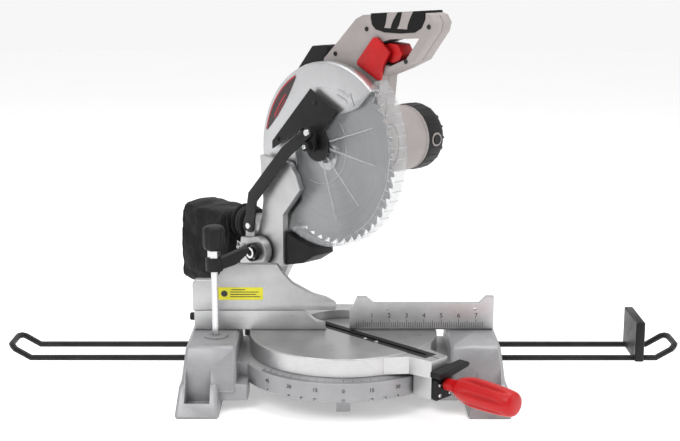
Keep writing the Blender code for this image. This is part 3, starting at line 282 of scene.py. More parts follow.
YELLOW = surface("yellow_label", (0.85, 0.78, 0.03), 0.45, mottle=0.05, depth=0.08, wear=0.3,
                 worn=(0.5, 0.48, 0.2), edge=0.0004)
DECAL_RED = surface("decal_red", (0.42, 0.01, 0.02), 0.30, grain=800, depth=0.05,
                    shader={"Coat Weight": 0.4})
DECAL_DARK = surface("decal_dark", (0.03, 0.008, 0.010), 0.25, mottle=0.3, grain=800,
                     depth=0.05, shader={"Coat Weight": 0.4})

FINISHES = {
    "base_casting": PAINT, "fence": MILLED, "turntable_pivot_bolt": STEEL,
    "sliding_fence": CAST, "fence_lock_screw": DARK,
    "turntable": MILLED, "kerf_insert": DARK, "arm_bracket": BLACK, "bevel_pivot_bolt": STEEL,
    "detent_lever": BLACK, "mitre_lock_rod": STEEL, "mitre_lock_handle": RED,
    "bevel_bracket": CAST, "head_pivot_shaft": STEEL, "link_anchor_bolt": STEEL,
    "torsion_spring": DARK, "bevel_lock_lever": BLACK, "head_lock_pin": STEEL,
    "head_arm": CAST, "upper_guard": GUARD_CAST, "arbor_cover_plate": DARK,
    "spindle_bearing": STEEL, "gear_housing": SHELL, "motor_housing": SHELL,
    "motor_end_cap": BLACK, "field_core": DARK, "brush_cap_front": BLACK,
    "brush_cap_rear": BLACK, "carbon_brush_front": DARK, "carbon_brush_rear": DARK,
    "handle_left_shell": SHELL, "handle_right_shell": SHELL, "grip_pad": RUBBER,
    "trigger_switch": BLACK, "carry_handle": BLACK, "dust_chute": BLACK, "dust_bag": CLOTH,
    "cable_gland": RUBBER, "saw_blade": BLADE, "inner_flange": STEEL, "outer_flange": STEEL,
    "arbor_bolt": DARK, "spindle": STEEL, "spindle_gear": STEEL, "armature": COPPER,
    "lower_guard": CLEAR, "guard_hub": BLACK, "guard_link": DARK, "link_pin": STEEL,
    "guard_release_lever": RED, "trigger": RED, "spindle_lock_button": BLACK,
    "clamp_rod": STEEL, "clamp_arm": BLACK, "clamp_nut": STEEL, "clamp_knob": BLACK,
    "left_extension_bar": DARK, "right_extension_bar": DARK, "stop_block": DARK,
}

# Rounding of the edges of cast, moulded and pressed nodes.
ROUNDED = {
    "handle_left_shell": 0.0035, "handle_right_shell": 0.0035, "carry_handle": 0.0025,
    "trigger": 0.0020, "guard_release_lever": 0.0012, "sliding_fence": 0.0010,
    "head_arm": 0.0020, "base_casting": 0.0020, "stop_block": 0.0010, "clamp_arm": 0.0012,
    "detent_lever": 0.0012, "arbor_cover_plate": 0.0004, "guard_link": 0.0005,
    "gear_housing": 0.0020, "dust_chute": 0.0015, "bevel_bracket": 0.0012,
}


# ---------------------------------------------------------------- CAD nodes

def smoothing_group():
    """Welds the imported corners and shades smooth below the crease angle."""
    group = bpy.data.node_groups.new("weld_and_smooth", "GeometryNodeTree")
    for way in ("INPUT", "OUTPUT"):
        group.interface.new_socket("Geometry", in_out=way, socket_type="NodeSocketGeometry")
    start, end = add(group, "NodeGroupInput"), add(group, "NodeGroupOutput")
    weld = add(group, "GeometryNodeMergeByDistance", {"Distance": 0.000001})
    smooth = add(group, "GeometryNodeSetShadeSmooth", {"Shade Smooth": True})
    crease = add(group, "GeometryNodeSetShadeSmooth", {"Shade Smooth": False}, domain="EDGE")
    angle = add(group, "GeometryNodeInputMeshEdgeAngle")
    sharp = add(group, "FunctionNodeCompare", {1: radians(CREASE)}, data_type="FLOAT",
                operation="GREATER_THAN")
    link = group.links.new
    link(start.outputs[0], weld.inputs["Geometry"])
    link(weld.outputs["Geometry"], smooth.inputs["Geometry"])
    link(smooth.outputs["Geometry"], crease.inputs["Geometry"])
    link(angle.outputs["Unsigned Angle"], sharp.inputs[0])
    link(sharp.outputs["Result"], crease.inputs["Selection"])
    link(crease.outputs["Geometry"], end.inputs[0])
    return group


def dress(node, finish, rounding, smoothing):
    """Gives a CAD node its finish, smooth shading and, where it has one, its rounding."""
    attributes = node.data.attributes
    if "custom_normal" in attributes:
        attributes.remove(attributes["custom_normal"])
    node.data.materials.clear()
    node.data.materials.append(finish)
    if rounding:
        weld = node.modifiers.new("weld", "WELD")
        weld.merge_threshold = 0.000002
        bevel = node.modifiers.new("rounding", "BEVEL")
        bevel.width = rounding
        bevel.segments = 3
        bevel.limit_method = "ANGLE"
        bevel.angle_limit = radians(ROUNDED_FROM)
    node.modifiers.new("weld_and_smooth", "NODES").node_group = smoothing


def dress_nodes():
    smoothing = smoothing_group()
    for name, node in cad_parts.items():
        dress(node, FINISHES[name], ROUNDED.get(name), smoothing)


# ---------------------------------------------------------------- outlines and pieces

def polar(centre, radius, angle):
    """The point at a radius and an angle in degrees from a centre."""
    turn = radians(angle)
    return centre[0] + radius * cos(turn), centre[1] + radius * sin(turn)


def arc(centre, radius, start, stop, count):
    """Points along an arc between two angles in degrees."""
    return [polar(centre, radius, start + (stop - start) * i / count) for i in range(count + 1)]


def band(centre, low, high, start, stop, count):
    """A closed outline between two radii and two angles."""
    return [*arc(centre, high, start, stop, count), *arc(centre, low, stop, start, count)]


def rectangle(x0, x1, z0, z1):
    return [(x0, z0), (x1, z0), (x1, z1), (x0, z1)]


def towards(place, direction):
    """A matrix that stands +Z along a direction at a place."""
    turn = Vector((0, 0, 1)).rotation_difference(Vector(direction)).to_matrix().to_4x4()
    return Matrix.Translation(Vector(place)) @ turn


def add_plate(work, outline, low, high, matrix=None):
    """A flat outline of (u, z) between two offsets along v."""
    near = [work.verts.new((x, low, z)) for x, z in outline]
    far = [work.verts.new((x, high, z)) for x, z in outline]
    work.faces.new(near)
    work.faces.new(list(reversed(far)))
    for i in range(len(outline)):
        j = (i + 1) % len(outline)
        work.faces.new((near[j], near[i], far[i], far[j]))
    if matrix is not None:
        bmesh.ops.transform(work, matrix=matrix, verts=near + far)


def add_turned(work, profile, steps=24, shape=None):
    """A profile of (radius, height) turned about Z; shape(angle, height) scales the radius."""
    rows = []
    for radius, height in profile:
        if radius < 1e-6:
            rows.append([work.verts.new((0, 0, height))])
            continue
        row = []
        for i in range(steps):
            t = 2 * pi * i / steps
            r = radius * (shape(t, height) if shape else 1)
            row.append(work.verts.new((r * cos(t), r * sin(t), height)))
        rows.append(row)
    for a, b in zip(rows, rows[1:]):
        for i in range(steps):
            j = (i + 1) % steps
            corners = [a[i % len(a)], a[j % len(a)], b[j % len(b)], b[i % len(b)]]
            unique = list(dict.fromkeys(corners))
            if len(unique) > 2:
                work.faces.new(unique)


def placed(name, mesh):
    """A mesh as an object in the scene."""
    piece = bpy.data.objects.new(name, mesh)
    bpy.context.scene.collection.objects.link(piece)
    return piece


def finished(name, work, matrix, body, look, crease=CREASE):
    """Turns a bmesh into a piece that rides on a body."""
    bmesh.ops.transform(work, matrix=matrix, verts=work.verts)
    bmesh.ops.recalc_face_normals(work, faces=work.faces)
    mesh = bpy.data.meshes.new(name)
    work.to_mesh(mesh)
    work.free()
    mesh.materials.append(look)
    mesh.shade_smooth()
    mesh.set_sharp_from_angle(angle=radians(crease))
    piece = placed(name, mesh)
    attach(piece, body)
    return piece


def inked(name, work, body, matrix):
    """Printed or engraved marks."""
    finished(name, work, matrix, body, INK)


def plate(name, outline, low, high, body, look, matrix=SAW):
    """One flat plate as a piece."""
    work = bmesh.new()
    add_plate(work, outline, low, high)
    finished(name, work, matrix, body, look)


def screw(name, place, direction, radius, body, look=STEEL, matrix=SAW):
    """A pan head with a round recess."""
    head = [(0, 0), (1, 0), (1, 0.25), (0.92, 0.45), (0.72, 0.58), (0.50, 0.60)]
    recess = [(0.46, 0.58), (0.44, 0.20), (0, 0.18)]
    work = bmesh.new()
    add_turned(work, [(radius * out, radius * up) for out, up in head + recess])
    finished(name, work, matrix @ towards(place, direction), body, look)


def curve_mesh(curve):
    """The mesh of a curve or a text."""
    source = placed(curve.name + "_source", curve)
    graph = bpy.context.evaluated_depsgraph_get()
    mesh = bpy.data.meshes.new_from_object(source.evaluated_get(graph))
    bpy.data.objects.remove(source)
    return mesh


def numbers(name, marks):
    """Numbers on the base as thin solid letters; each mark is (text, size, matrix)."""
    work = bmesh.new()
    for text, size, matrix in marks:
        curve = bpy.data.curves.new(name, "FONT")
        curve.body = text
        curve.size = size
        curve.extrude = 0.00010
        curve.align_x = "CENTER"
        curve.resolution_u = 3
        mesh = curve_mesh(curve)
        mesh.transform(matrix)
        work.from_mesh(mesh)
        bpy.data.meshes.remove(mesh)
    inked(name, work, "base", WORLD)


# ---------------------------------------------------------------- ruler, label and ring scale

def make_ruler():
    """Inches on the fence in eighths, with longer ticks at the half and whole inches."""
    zero, end, foot, half = 0.0165, 0.204, 0.0035, 0.00032
    ticks = bmesh.new()
    for step in range(1, 1 + int((end - zero) / (INCH / 8))):
        length = 0.0125 if step % 8 == 0 else 0.0100 if step % 4 == 0 else 0.0080
        x = zero + INCH / 8 * step
        add_plate(ticks, rectangle(x - half, x + half, foot, foot + length), -0.00022, 0.0)
    inked("fence_ruler_ticks", ticks, "base", TABLE)
    upright = Matrix.Rotation(pi / 2, 4, "X")
    marks = []
    for number in range(1, 8):
        place = TABLE @ Matrix.Translation((zero + INCH * number, -0.00012, 0.0185))
        marks.append((str(number), 0.0100, place @ upright))
    numbers("fence_ruler_numbers", marks)
    line = bmesh.new()
    add_plate(line, rectangle(0.010, 0.218, 0.0016, 0.0022), -0.00015, 0.0)
    inked("fence_ruler_line", line, "base", TABLE)


def make_label():
    """A plain yellow strip with a dot, and grey bars where words would be."""
    x0, x1, z0, z1 = -0.183, -0.117, 0.0455, 0.0645
    corner, front, raised = 0.002, -0.0003, -0.00042
    centres = ((x1 - corner, z1 - corner), (x0 + corner, z1 - corner),
               (x0 + corner, z0 + corner), (x1 - corner, z0 + corner))
    outline = []
    for quarter, centre in enumerate(centres):
        outline += arc(centre, corner, 90 * quarter, 90 * quarter + 90, 4)
    plate("fence_label", outline, front, 0.0, "sliding_fence", YELLOW, TABLE)
    bars = bmesh.new()
    spans = (0.020, 0.040), (0.018, 0.060), (0.018, 0.056), (0.018, 0.062)
    for row, (start, stop) in enumerate(spans):
        z = z1 - 0.0042 - 0.0035 * row
        add_plate(bars, rectangle(x0 + start, x0 + stop, z, z + 0.0012), raised, front)
    add_plate(bars, arc((x0 + 0.0095, (z0 + z1) / 2), 0.0048, 0, 345, 23), raised, front)
    inked("fence_label_bars", bars, "sliding_fence", TABLE)


def make_ring_scale():
    """Degree ticks on the sloping top of the base ring, and numbers on its side."""
    r0, r1, z0, z1 = 0.1385, 0.1497, -0.02655, -0.03065
    tilt = Matrix.Rotation(-atan2(z1 - z0, r1 - r0), 4, "Y")
    ticks = bmesh.new()
    for degree in range(-50, 51):
        length = 0.0085 if degree % 15 == 0 else 0.0068 if degree % 5 == 0 else 0.0042
        turn = Matrix.Rotation(radians(degree - 90), 4, "Z")
        lie = turn @ Matrix.Translation((r1 - 0.0004, 0, z1 + 0.00030)) @ tilt
        add_plate(ticks, rectangle(-length, 0, -0.00008, 0.0001), -0.00024, 0.00024, TABLE @ lie)
    inked("mitre_scale_ticks", ticks, "base", WORLD)
    marks = []
    for degree in range(-45, 46, 15):
        turn = Matrix.Rotation(radians(degree - 90), 4, "Z")
        lie = turn @ Matrix.Translation((0.1515, 0, -0.0435)) @ \
            Matrix.Rotation(pi / 2, 4, "Z") @ Matrix.Rotation(pi / 2, 4, "X")
        place = TABLE @ lie @ Matrix.Translation((0, 0, -0.00125))
        marks.append((str(abs(degree)), 0.0075, place))
    numbers("mitre_scale_numbers", marks)


# ---------------------------------------------------------------- base and turntable details

def make_base_details():
    """Screws of the insert, bracket and fence, the wires' bushes and the table's pointer."""
    up, forwards = (0, 0, 1), (1, 0, 0)
    for number, (u, v) in enumerate(((0.052, -0.0074), (0.074, -0.0074), (-0.078, 0.0074))):
        screw(f"insert_screw_{number}", (u, v, -0.0006), up, 0.0030, "turntable")
    corners = (-0.0105, -0.0335), (0.0105, -0.0335), (-0.0105, -0.0485), (0.0105, -0.0485)
    for number, (v, z) in enumerate(corners):
        screw(f"bracket_screw_{number}", (0.1960, v, z), forwards, 0.0026, "turntable")
    for number, x in enumerate((-0.207, -0.150, 0.150, 0.207)):
        screw(f"fence_bolt_{number}", (x, 0.033, 0.0124), up, 0.0052, "base", DARK, TABLE)
    bush = [(0.0080, 0), (0.0080, 0.0018), (0.0072, 0.0026), (0.0054, 0.0026), (0.0054, 0)]
    for side, hand in ((-1, "left"), (1, "right")):
        for end, y in (("front", -0.033), ("rear", 0.030)):
            work = bmesh.new()
            add_turned(work, bush)
            place = TABLE @ towards((side * 0.2255, y, -0.0318), (side, 0, 0.0))
            finished(f"wire_bush_{end}_{hand}", work, place, "base", BLACK)
    pointer = bmesh.new()
    add_plate(pointer, rectangle(0.1705, 0.1845, -0.0008, -0.0003), -0.0004, 0.0004)
    inked("table_pointer_line", pointer, "turntable", SAW)


def make_mitre_handle():
    """The red handle with seven long hollow flutes."""
    profile = [
        (0, 0.319), (0.0075, 0.3188), (0.0120, 0.3178), (0.0150, 0.3158), (0.0168, 0.3125),
        (0.0178, 0.307), (0.0187, 0.300), (0.0193, 0.291), (0.0198, 0.281), (0.0202, 0.271),
        (0.0204, 0.262), (0.0204, 0.252), (0.0200, 0.246), (0.0188, 0.239), (0.0172, 0.232),
        (0.0150, 0.226), (0.0124, 0.221), (0.0100, 0.2175), (0.0090, 0.2145), (0.0086, 0.208),
        (0.0088, 0.2030), (0.0084, 0.1995), (0.0045, 0.1990)]

    def flutes(angle, height):
        along = min(1, max(0, min((height - 0.238) / 0.010, (0.306 - height) / 0.008)))
        across = max(0.0, cos(7 * angle)) ** 2.2
        return 1 - 0.15 * along * across

    work = bmesh.new()
    add_turned(work, profile, 96, flutes)
    place = SAW @ Matrix.Translation((0, 0, -0.0330)) @ Matrix.Rotation(pi / 2, 4, "Y")
    handle = finished("mitre_lock_grip", work, place, "mitre_lock", RED, 50)
    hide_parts("mitre_lock_handle")


def make_clamp_knob():
    """The clamp's knob with nine grooves."""
    profile = [
        (0, 0.0352), (0.0060, 0.0350), (0.0110, 0.0345), (0.0140, 0.0330), (0.0157, 0.0300),
        (0.0159, 0.0240), (0.0159, 0.0100), (0.0155, 0.0050), (0.0138, 0.0018),
        (0.0115, 0.0001), (0, 0)]

    def grooves(angle, height):
        along = min(1, max(0, min((height - 0.002) / 0.004, (0.033 - height) / 0.004)))
        return 1 - 0.075 * along * max(0.0, cos(9 * angle)) ** 2

    work = bmesh.new()
    add_turned(work, profile, 108, grooves)
    place = TABLE @ Matrix.Translation((-0.184, -0.030, 0.1283))
    knob = finished("clamp_knob_ribbed", work, place, "clamp_knob", BLACK, 45)
    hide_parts("clamp_knob")


# ---------------------------------------------------------------- guard details

def make_decal():
    """A dark lens with a red border and two plain bars, on the upper guard's left face."""
    centre = (ARBOR.x, ARBOR.z)

    def lens(inset):
        outer = arc(centre, 0.1285 - inset, 118, 168, 16)
        first, last = outer[0], outer[-1]
        inner = []
        for i in range(1, 14):
            t = i / 14
            bow = (0.0075 - inset) * 4 * t * (1 - t)
            inner.append((last[0] + (first[0] - last[0]) * t + 0.78 * bow,
                          last[1] + (first[1] - last[1]) * t - 0.62 * bow))
        return [*outer, *inner]

    plate("guard_decal_border", lens(0.0), -0.00985, -0.0094, "head", DECAL_RED)
    plate("guard_decal_field", lens(0.0024), -0.01005, -0.0094, "head", DECAL_DARK)
    bars = bmesh.new()
    for low, high, start, stop in ((0.1150, 0.1172, 134, 156), (0.1110, 0.1120, 137, 154)):
        add_plate(bars, band(centre, low, high, start, stop, 8), -0.01020, -0.0100)
    finished("guard_decal_bars", bars, SAW, "head", DECAL_RED)


def make_arrow():
    """The raised turning arrow on the upper guard: two strokes and a hollow head."""
    centre = (ARBOR.x, ARBOR.z)
    outer, inner = -0.0106, -0.0093
    work = bmesh.new()
    for low, high in ((0.1010, 0.1030), (0.0930, 0.0950)):
        add_plate(work, band(centre, low, high, 62, 75, 8), outer, inner)
    tip, inner_tip = polar(centre, 0.098, 53), polar(centre, 0.098, 55.6)
    barb_out, barb_in = polar(centre, 0.1085, 62), polar(centre, 0.0875, 62)
    notch_out, notch_in = polar(centre, 0.1052, 62), polar(centre, 0.0908, 62)
    add_plate(work, [barb_out, tip, inner_tip, notch_out], outer, inner)
    add_plate(work, [tip, barb_in, notch_in, inner_tip], outer, inner)
    finished("guard_arrow", work, SAW, "head", GUARD_CAST)


def make_guard_details():
    """Ribs of the clear guard, its rim blocks, and screws of the hub and the cover plate."""
    centre = (GUARD.x, GUARD.z)
    ribs = bmesh.new()
    for turn in (18, -9, -44, -71):
        side = radians(turn)
        across = Vector((-sin(side), cos(side)))
        points = []
        for radius, half in ((0.018, 0.0013), (0.112, 0.0007)):
            middle = Vector(centre) + radius * Vector((cos(side), sin(side)))
            points.append((tuple(middle + across * half), tuple(middle - across * half)))
        (a, b), (c, d) = points
        add_plate(ribs, [a, b, d, c], -0.0149, -0.0134)
    for low, high in ((0.1380, 0.1388), (0.0560, 0.0566)):
        add_plate(ribs, band(centre, low, high, -110, 40, 60), -0.0145, -0.0134)
    finished("guard_ribs", ribs, SAW, "lower_guard", CLEAR_RIB)
    blocks = bmesh.new()
    for step in range(25):
        start = -112 + 6.1 * step
        add_plate(blocks, band(centre, 0.1390, 0.1471, start, start + 0.8, 2), -0.0142, -0.0134)
        add_plate(blocks, band(centre, 0.1490, 0.14945, start, start + 0.7, 2), -0.0100, 0.0100)
    finished("guard_rim_blocks", blocks, SAW, "lower_guard", CLEAR_RIB)
    leftwards = (0, -1, 0)
    screw("hub_screw", (GUARD.x, -0.0424, GUARD.z), leftwards, 0.0034, "lower_guard")
    for number, (u, z) in enumerate(((-0.118, 0.272), (-0.040, 0.333))):
        screw(f"cover_screw_{number}", (u, -0.0181, z), leftwards, 0.0034, "head", DARK)


# ---------------------------------------------------------------- motor and handle details

def make_motor_details():
    """Seam lines, the ribbed skirt and fins of the end cap, and the mounting screws."""
    stand = SAW @ Matrix.Translation(MOTOR) @ Matrix.Rotation(-pi / 2, 4, "X")
    seams = bmesh.new()
    for v in (0.0700, 0.1180):
        ring = [(0.0482, v), (0.0484, v + 0.0004), (0.0484, v + 0.0011), (0.0482, v + 0.0015)]
        add_turned(seams, ring, 64)
    finished("motor_seams", seams, stand, "head", SHELL)

    skirt = bmesh.new()
    add_turned(skirt, [(0.0480, 0.1240), (0.0487, 0.1244), (0.0489, 0.1260),
                       (0.0489, 0.1500), (0.0482, 0.1512), (0.0470, 0.1512)], 72)
    rib = [(0.0485, 0.1275), (0.0494, 0.1285), (0.0494, 0.1480), (0.0485, 0.1495)]
    for step in range(24):
        add_plate(skirt, rib, -0.0010, 0.0010, Matrix.Rotation(2 * pi * step / 24, 4, "Z"))
    finished("motor_end_skirt", skirt, stand, "head", BLACK)

    fins = bmesh.new()
    fin = [(0.0150, 0.1699), (0.0252, 0.1699), (0.0402, 0.1640), (0.0440, 0.1590),
           (0.0448, 0.1605), (0.0408, 0.1652), (0.0256, 0.1712), (0.0150, 0.1712)]
    for step in range(16):
        turn = Matrix.Rotation(2 * pi * step / 16, 4, "Z")
        add_plate(fins, fin, -0.0011, 0.0011, stand @ turn)
    finished("end_cap_ribs", fins, WORLD, "head", BLACK)

    for number, turn in enumerate((40, 130, 220, 310)):
        u, z = polar((MOTOR.x, MOTOR.z), 0.0345, turn)
        screw(f"motor_screw_{number}", (u, 0.0202, z), (0, -1, 0), 0.0030, "head", DARK)


def make_handle_details():
    """The rubber on the grip's sides with grey stripes across it, and the shells' screws."""
    left_face, right_face = 0.0201, 0.0559

    def top(u):
        """The height of the grip's upper edge."""
        return 0.4602 + (u - 0.050) * (0.4659 - 0.4602) / 0.072

    rubber = [(0.034, top(0.034) - 0.001), (0.036, 0.4450), (0.043, 0.4385), (0.060, 0.4350),
              (0.090, 0.4350), (0.116, 0.4375), (0.1275, 0.4440), (0.1330, 0.4540),
              (0.1330, 0.4645), (0.122, top(0.122)), (0.050, top(0.050) + 0.0003)]
    for side, low, high in (("left", 0.0193, left_face), ("right", right_face, 0.0567)):
        plate(f"grip_overmould_{side}", rubber, low, high, "head", RUBBER)

    stripes = bmesh.new()
    foot = 0.4410
    shares = (0, 0.25, 0.5, 0.75, 1)
    for (a0, a1), (b0, b1) in (((0.0655, 0.0850), (0.0600, 0.0720)),
                               ((0.0930, 0.1130), (0.0840, 0.1020))):
        left = [(b0 + (a0 - b0) * t ** 0.6, foot + (top(a0) + 0.0005 - foot) * t)
                for t in shares]
        right = [(b1 + (a1 - b1) * t ** 1.5, foot + (top(a1) + 0.0005 - foot) * t)
                 for t in reversed(shares)]
        add_plate(stripes, [*left, *right], 0.0190, 0.0570)
    finished("grip_stripes", stripes, SAW, "head", SHELL)

    places = (-0.036, 0.400), (0.018, 0.366), (0.1405, 0.4460), (0.100, 0.3975), (0.026, 0.438)
    for number, (u, z) in enumerate(places):
        screw(f"handle_screw_{number}", (u, left_face, z), (0, -1, 0), 0.0032, "head", DARK)
        screw(f"handle_screw_right_{number}", (u, right_face, z), (0, 1, 0), 0.0032, "head",
              DARK)


# ---------------------------------------------------------------- dust bag

BAG_LOW, BAG_HIGH = Vector((-0.346, -0.039, 0.020)), Vector((-0.2210, 0.049, 0.153))
BAG_MIDDLE, BAG_HALF = (BAG_LOW + BAG_HIGH) / 2, (BAG_HIGH - BAG_LOW) / 2
PORT_V, PORT_Z = 0.002, 0.130


def apply_all(piece):
    """Makes the modified mesh the piece's own and drops its modifiers."""
    graph = bpy.context.evaluated_depsgraph_get()
    graph.update()
    mesh = bpy.data.meshes.new_from_object(piece.evaluated_get(graph))
    piece.modifiers.clear()
    piece.data = mesh


def sack():
    """A box with rounded sides, a little wider at the foot, its top rising to the back."""
    squareness = 9
    work = bmesh.new()
    bmesh.ops.create_cube(work, size=1)
    bmesh.ops.subdivide_edges(work, edges=work.edges, cuts=11, use_grid_fill=True)
    for vert in work.verts:
        p = vert.co * 2
        powers = [abs(c) ** squareness for c in p]
        p = p / max(1e-6, sum(powers)) ** (1 / squareness)
        sag = 1 + 0.05 * (0.5 - p.z) * 0.5
        vert.co = BAG_MIDDLE + Vector((p.x * BAG_HALF.x * 0.99, p.y * BAG_HALF.y * 0.97 * sag,
                                       p.z * BAG_HALF.z * 0.98))
        vert.co.z += 0.0030 * (0.4 - p.x) * max(0, p.z)
    bmesh.ops.transform(work, matrix=SAW, verts=work.verts)
    mesh = bpy.data.meshes.new("dust_bag_cloth")
    work.to_mesh(mesh)
    work.free()
    return mesh


def blow_up(bag):
    """A short cloth simulation under slight pressure, held at the dust port."""
    steps, most_moved = 18, 0.007
    start = [vert.co.copy() for vert in bag.data.vertices]
    held = bag.vertex_groups.new(name="mouth")
    for vert in bag.data.vertices:
        p = FROM_WORLD @ vert.co
        if p.x > BAG_HIGH.x - 0.012 and hypot(p.y - PORT_V, p.z - PORT_Z) < 0.034:
            held.add([vert.index], 1.0, "REPLACE")
    cloth = bag.modifiers.new("cloth", "CLOTH")
    settings = cloth.settings
    settings.quality = 6
    settings.mass = 0.25
    settings.use_pressure = True
    settings.uniform_pressure_force = 1.4
    settings.shrink_min = -0.07
    settings.tension_stiffness = 12
    settings.compression_stiffness = 12
    settings.bending_stiffness = 0.15
    settings.vertex_group_mass = "mouth"
    settings.effector_weights.gravity = 0.25
    cloth.point_cache.frame_start = 1
    cloth.point_cache.frame_end = 20
    scene = bpy.context.scene
    for step in range(1, steps + 1):
        scene.frame_set(step)
    apply_all(bag)
    bag.vertex_groups.clear()
    scene.frame_set(1)
    for vert, was in zip(bag.data.vertices, start):
        moved = vert.co - was
        if moved.length > most_moved:
            vert.co = was + moved.normalized() * most_moved


def rumpled(point, seed, size, height):
    """Height of a smooth noise at a point, the same on every run."""
    return height * noise.noise(point * size + Vector((seed, seed * 2.3, seed * 0.7)))


def rumple(bag):
    """Presses folds into the cloth, which stays within 3 mm of the box of the CAD solid."""
    for vert in bag.data.vertices:
        p = FROM_WORLD @ vert.co
        drawn_out = Vector((p.x, p.y * 0.4, p.z * 2))
        fold = rumpled(p, 3.1, 24, 0.0042) + rumpled(drawn_out, 7.7, 55, 0.0022)
        q = FROM_WORLD @ (vert.co + vert.normal * (fold - 0.0012))
        for axis in range(3):
            q[axis] = min(max(q[axis], BAG_LOW[axis] - 0.003), BAG_HIGH[axis] + 0.002)
        vert.co = SAW @ q


def make_bag():
    """The slack cloth bag: a rounded sack, blown up a little and rumpled."""
    bag = placed("dust_bag_cloth", sack())
    bpy.context.view_layer.objects.active = bag
    remesh = bag.modifiers.new("even", "REMESH")
    remesh.mode = "VOXEL"
    remesh.voxel_size = 0.0048
    apply_all(bag)
    blow_up(bag)
    rumple(bag)
    bag.data.materials.append(CLOTH)
    bag.data.shade_smooth()
    finer = bag.modifiers.new("finer", "SUBSURF")
    finer.levels = finer.render_levels = 1
    apply_all(bag)
    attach(bag, "head")
    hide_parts("dust_bag")
    return bag


def bead(name, points, radius, look):
    """A round bead of cloth along a closed loop of points."""
    curve = bpy.data.curves.new(name, "CURVE")
    curve.dimensions = "3D"
    curve.bevel_depth = radius
    curve.bevel_resolution = 2
    spline = curve.splines.new("POLY")
    spline.points.add(len(points) - 1)
    for point, place in zip(spline.points, points):
        point.co = (*place, 1)
    spline.use_cyclic_u = True
    mesh = curve_mesh(curve)
    work = bmesh.new()
    work.from_mesh(mesh)
    bpy.data.meshes.remove(mesh)
    bmesh.ops.remove_doubles(work, verts=work.verts, dist=0.00002)
    finished(name, work, WORLD, "head", look, 50)


def make_seams(bag):
    """Piping round the bag near its two ends, laid on the cloth by rays from outside."""
    tree = BVHTree.FromObject(bag, bpy.context.evaluated_depsgraph_get())
    radius, steps = 0.0012, 72
    for name, u in (("bag_seam_rear", BAG_LOW.x + 0.016), ("bag_seam_front", BAG_HIGH.x - 0.016)):
        points = []
        for step in range(steps):
            t = 2 * pi * step / steps
            outwards = SAW.to_3x3() @ Vector((0, cos(t), sin(t)))
            origin = SAW @ Vector((u, BAG_MIDDLE.y, BAG_MIDDLE.z)) + outwards * 0.2
            hit, _, _, _ = tree.ray_cast(origin, -outwards)
            if hit is not None:
                points.append(hit + outwards * radius * 0.35)
        bead(name, points, radius, PIPING)


def make_cuff():
    """The gathered cuff over the dust port: a sleeve with four beads round it."""
    rings = ((-0.2205, 0.0228, 0.0042, CLOTH), (-0.2120, 0.0212, 0.0042, PIPING),
             (-0.2030, 0.0222, 0.0042, CLOTH), (-0.1945, 0.0216, 0.0026, PIPING))
    steps = 40
    for number, (u, radius, thickness, look) in enumerate(rings):
        turns = [2 * pi * i / steps for i in range(steps)]
        ring = [SAW @ Vector((u, PORT_V + radius * cos(t), PORT_Z + radius * sin(t)))
                for t in turns]
        bead(f"bag_cuff_{number}", ring, thickness, look)
    sleeve = bmesh.new()
    add_turned(sleeve, [(0.0178, 0.0), (0.0222, 0.0), (0.0226, 0.012), (0.0220, 0.024),
                        (0.0226, 0.034), (0.0178, 0.034)], steps)
    place = SAW @ Matrix.Translation((-0.2225, PORT_V, PORT_Z)) @ Matrix.Rotation(pi / 2, 4, "Y")
    finished("bag_cuff_sleeve", sleeve, place, "head", CLOTH, 60)


# ---------------------------------------------------------------- stage, lights and camera

def make_floor():
    """A pale floor with faint, even mottling, lifted to the photograph's white."""
    work = bmesh.new()
    bmesh.ops.create_circle(work, cap_ends=True, radius=6.0, segments=96)
    mesh = bpy.data.meshes.new("floor")
    work.to_mesh(mesh)
    work.free()
    mesh.materials.append(surface(
        "floor_paper", (0.90, 0.90, 0.90), 0.9, mottle=0.01, patch=2, grain=60, depth=0.02,
        spread=0.03, shader={"Emission Color": (1, 1, 1, 1), "Emission Strength": 0.34}))
    placed("floor", mesh)


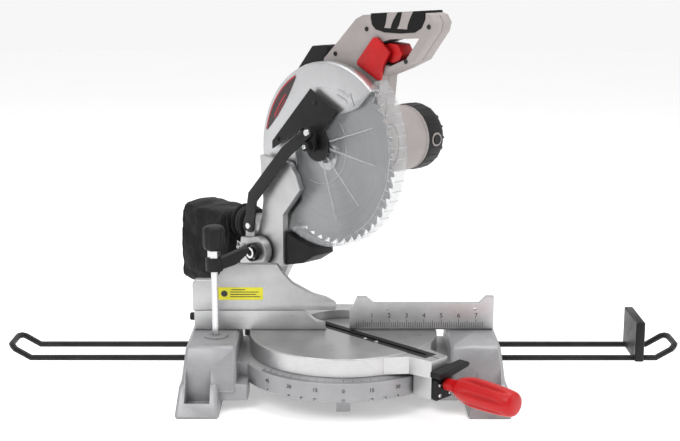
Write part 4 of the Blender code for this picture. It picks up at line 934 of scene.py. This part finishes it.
def make_world():
    """White at the horizon, dimmer overhead and behind the camera, for metal to mirror."""
    world = bpy.data.worlds.new("studio")
    world.use_nodes = True
    bpy.context.scene.world = world
    tree = world.node_tree
    background = tree.nodes["Background"]
    where = add(tree, "ShaderNodeTexCoord")
    split = add(tree, "ShaderNodeSeparateXYZ")
    tree.links.new(where.outputs["Generated"], split.inputs[0])
    height = ramp(tree, split.outputs["Z"], ((0.0, 0.98), (0.12, 0.98), (0.45, 0.62), (1.0, 0.90)))
    shifted = add(tree, "ShaderNodeMapRange", {"From Min": -1.0, "From Max": 1.0})
    tree.links.new(split.outputs["Y"], shifted.inputs["Value"])
    back = ramp(tree, shifted.outputs["Result"], ((0.0, 0.45), (0.30, 0.75), (0.55, 1.0)))
    tree.links.new(mixed(tree, 1.0, height, back, "MULTIPLY"), background.inputs["Color"])
    background.inputs["Strength"].default_value = 0.95


def make_light(name, place, target, size, power):
    """A rectangular soft light at a place, turned to a target."""
    light = bpy.data.lights.new(name, "AREA")
    light.shape = "RECTANGLE"
    light.size, light.size_y = size
    light.energy = power
    holder = placed(name, light)
    holder.location = place
    aim = Vector(target) - Vector(place)
    holder.rotation_euler = aim.to_track_quat("-Z", "Y").to_euler()


def make_camera():
    """The photograph's viewpoint, worked out from the base, the fence and the table."""
    looking_down, turned = 0.21699, 0.0008
    lens = bpy.data.cameras.new("camera")
    lens.lens = 67.75
    lens.sensor_width = 36
    camera = placed("camera", lens)
    camera.location = (-0.0033, -1.8, 0.649)
    camera.rotation_euler = (pi / 2 - looking_down, 0, turned)
    bpy.context.scene.camera = camera


dress_nodes()
make_ruler()
make_label()
make_ring_scale()
make_base_details()
make_mitre_handle()
make_clamp_knob()
make_decal()
make_arrow()
make_guard_details()
make_motor_details()
make_handle_details()
dust_bag = make_bag()
make_seams(dust_bag)
make_cuff()
make_floor()
make_world()
make_light("key", (-1.1, -1.5, 1.9), (0, 0, 0.15), (1.3, 1.3), 26)
make_light("top", (0.3, 0.3, 2.0), (0, 0, 0.1), (1.8, 1.4), 20)
make_light("side", (1.8, -0.7, 0.9), (0, 0, 0.2), (0.7, 1.2), 9)
make_camera()
bpy.context.scene.view_settings.view_transform = "Standard"
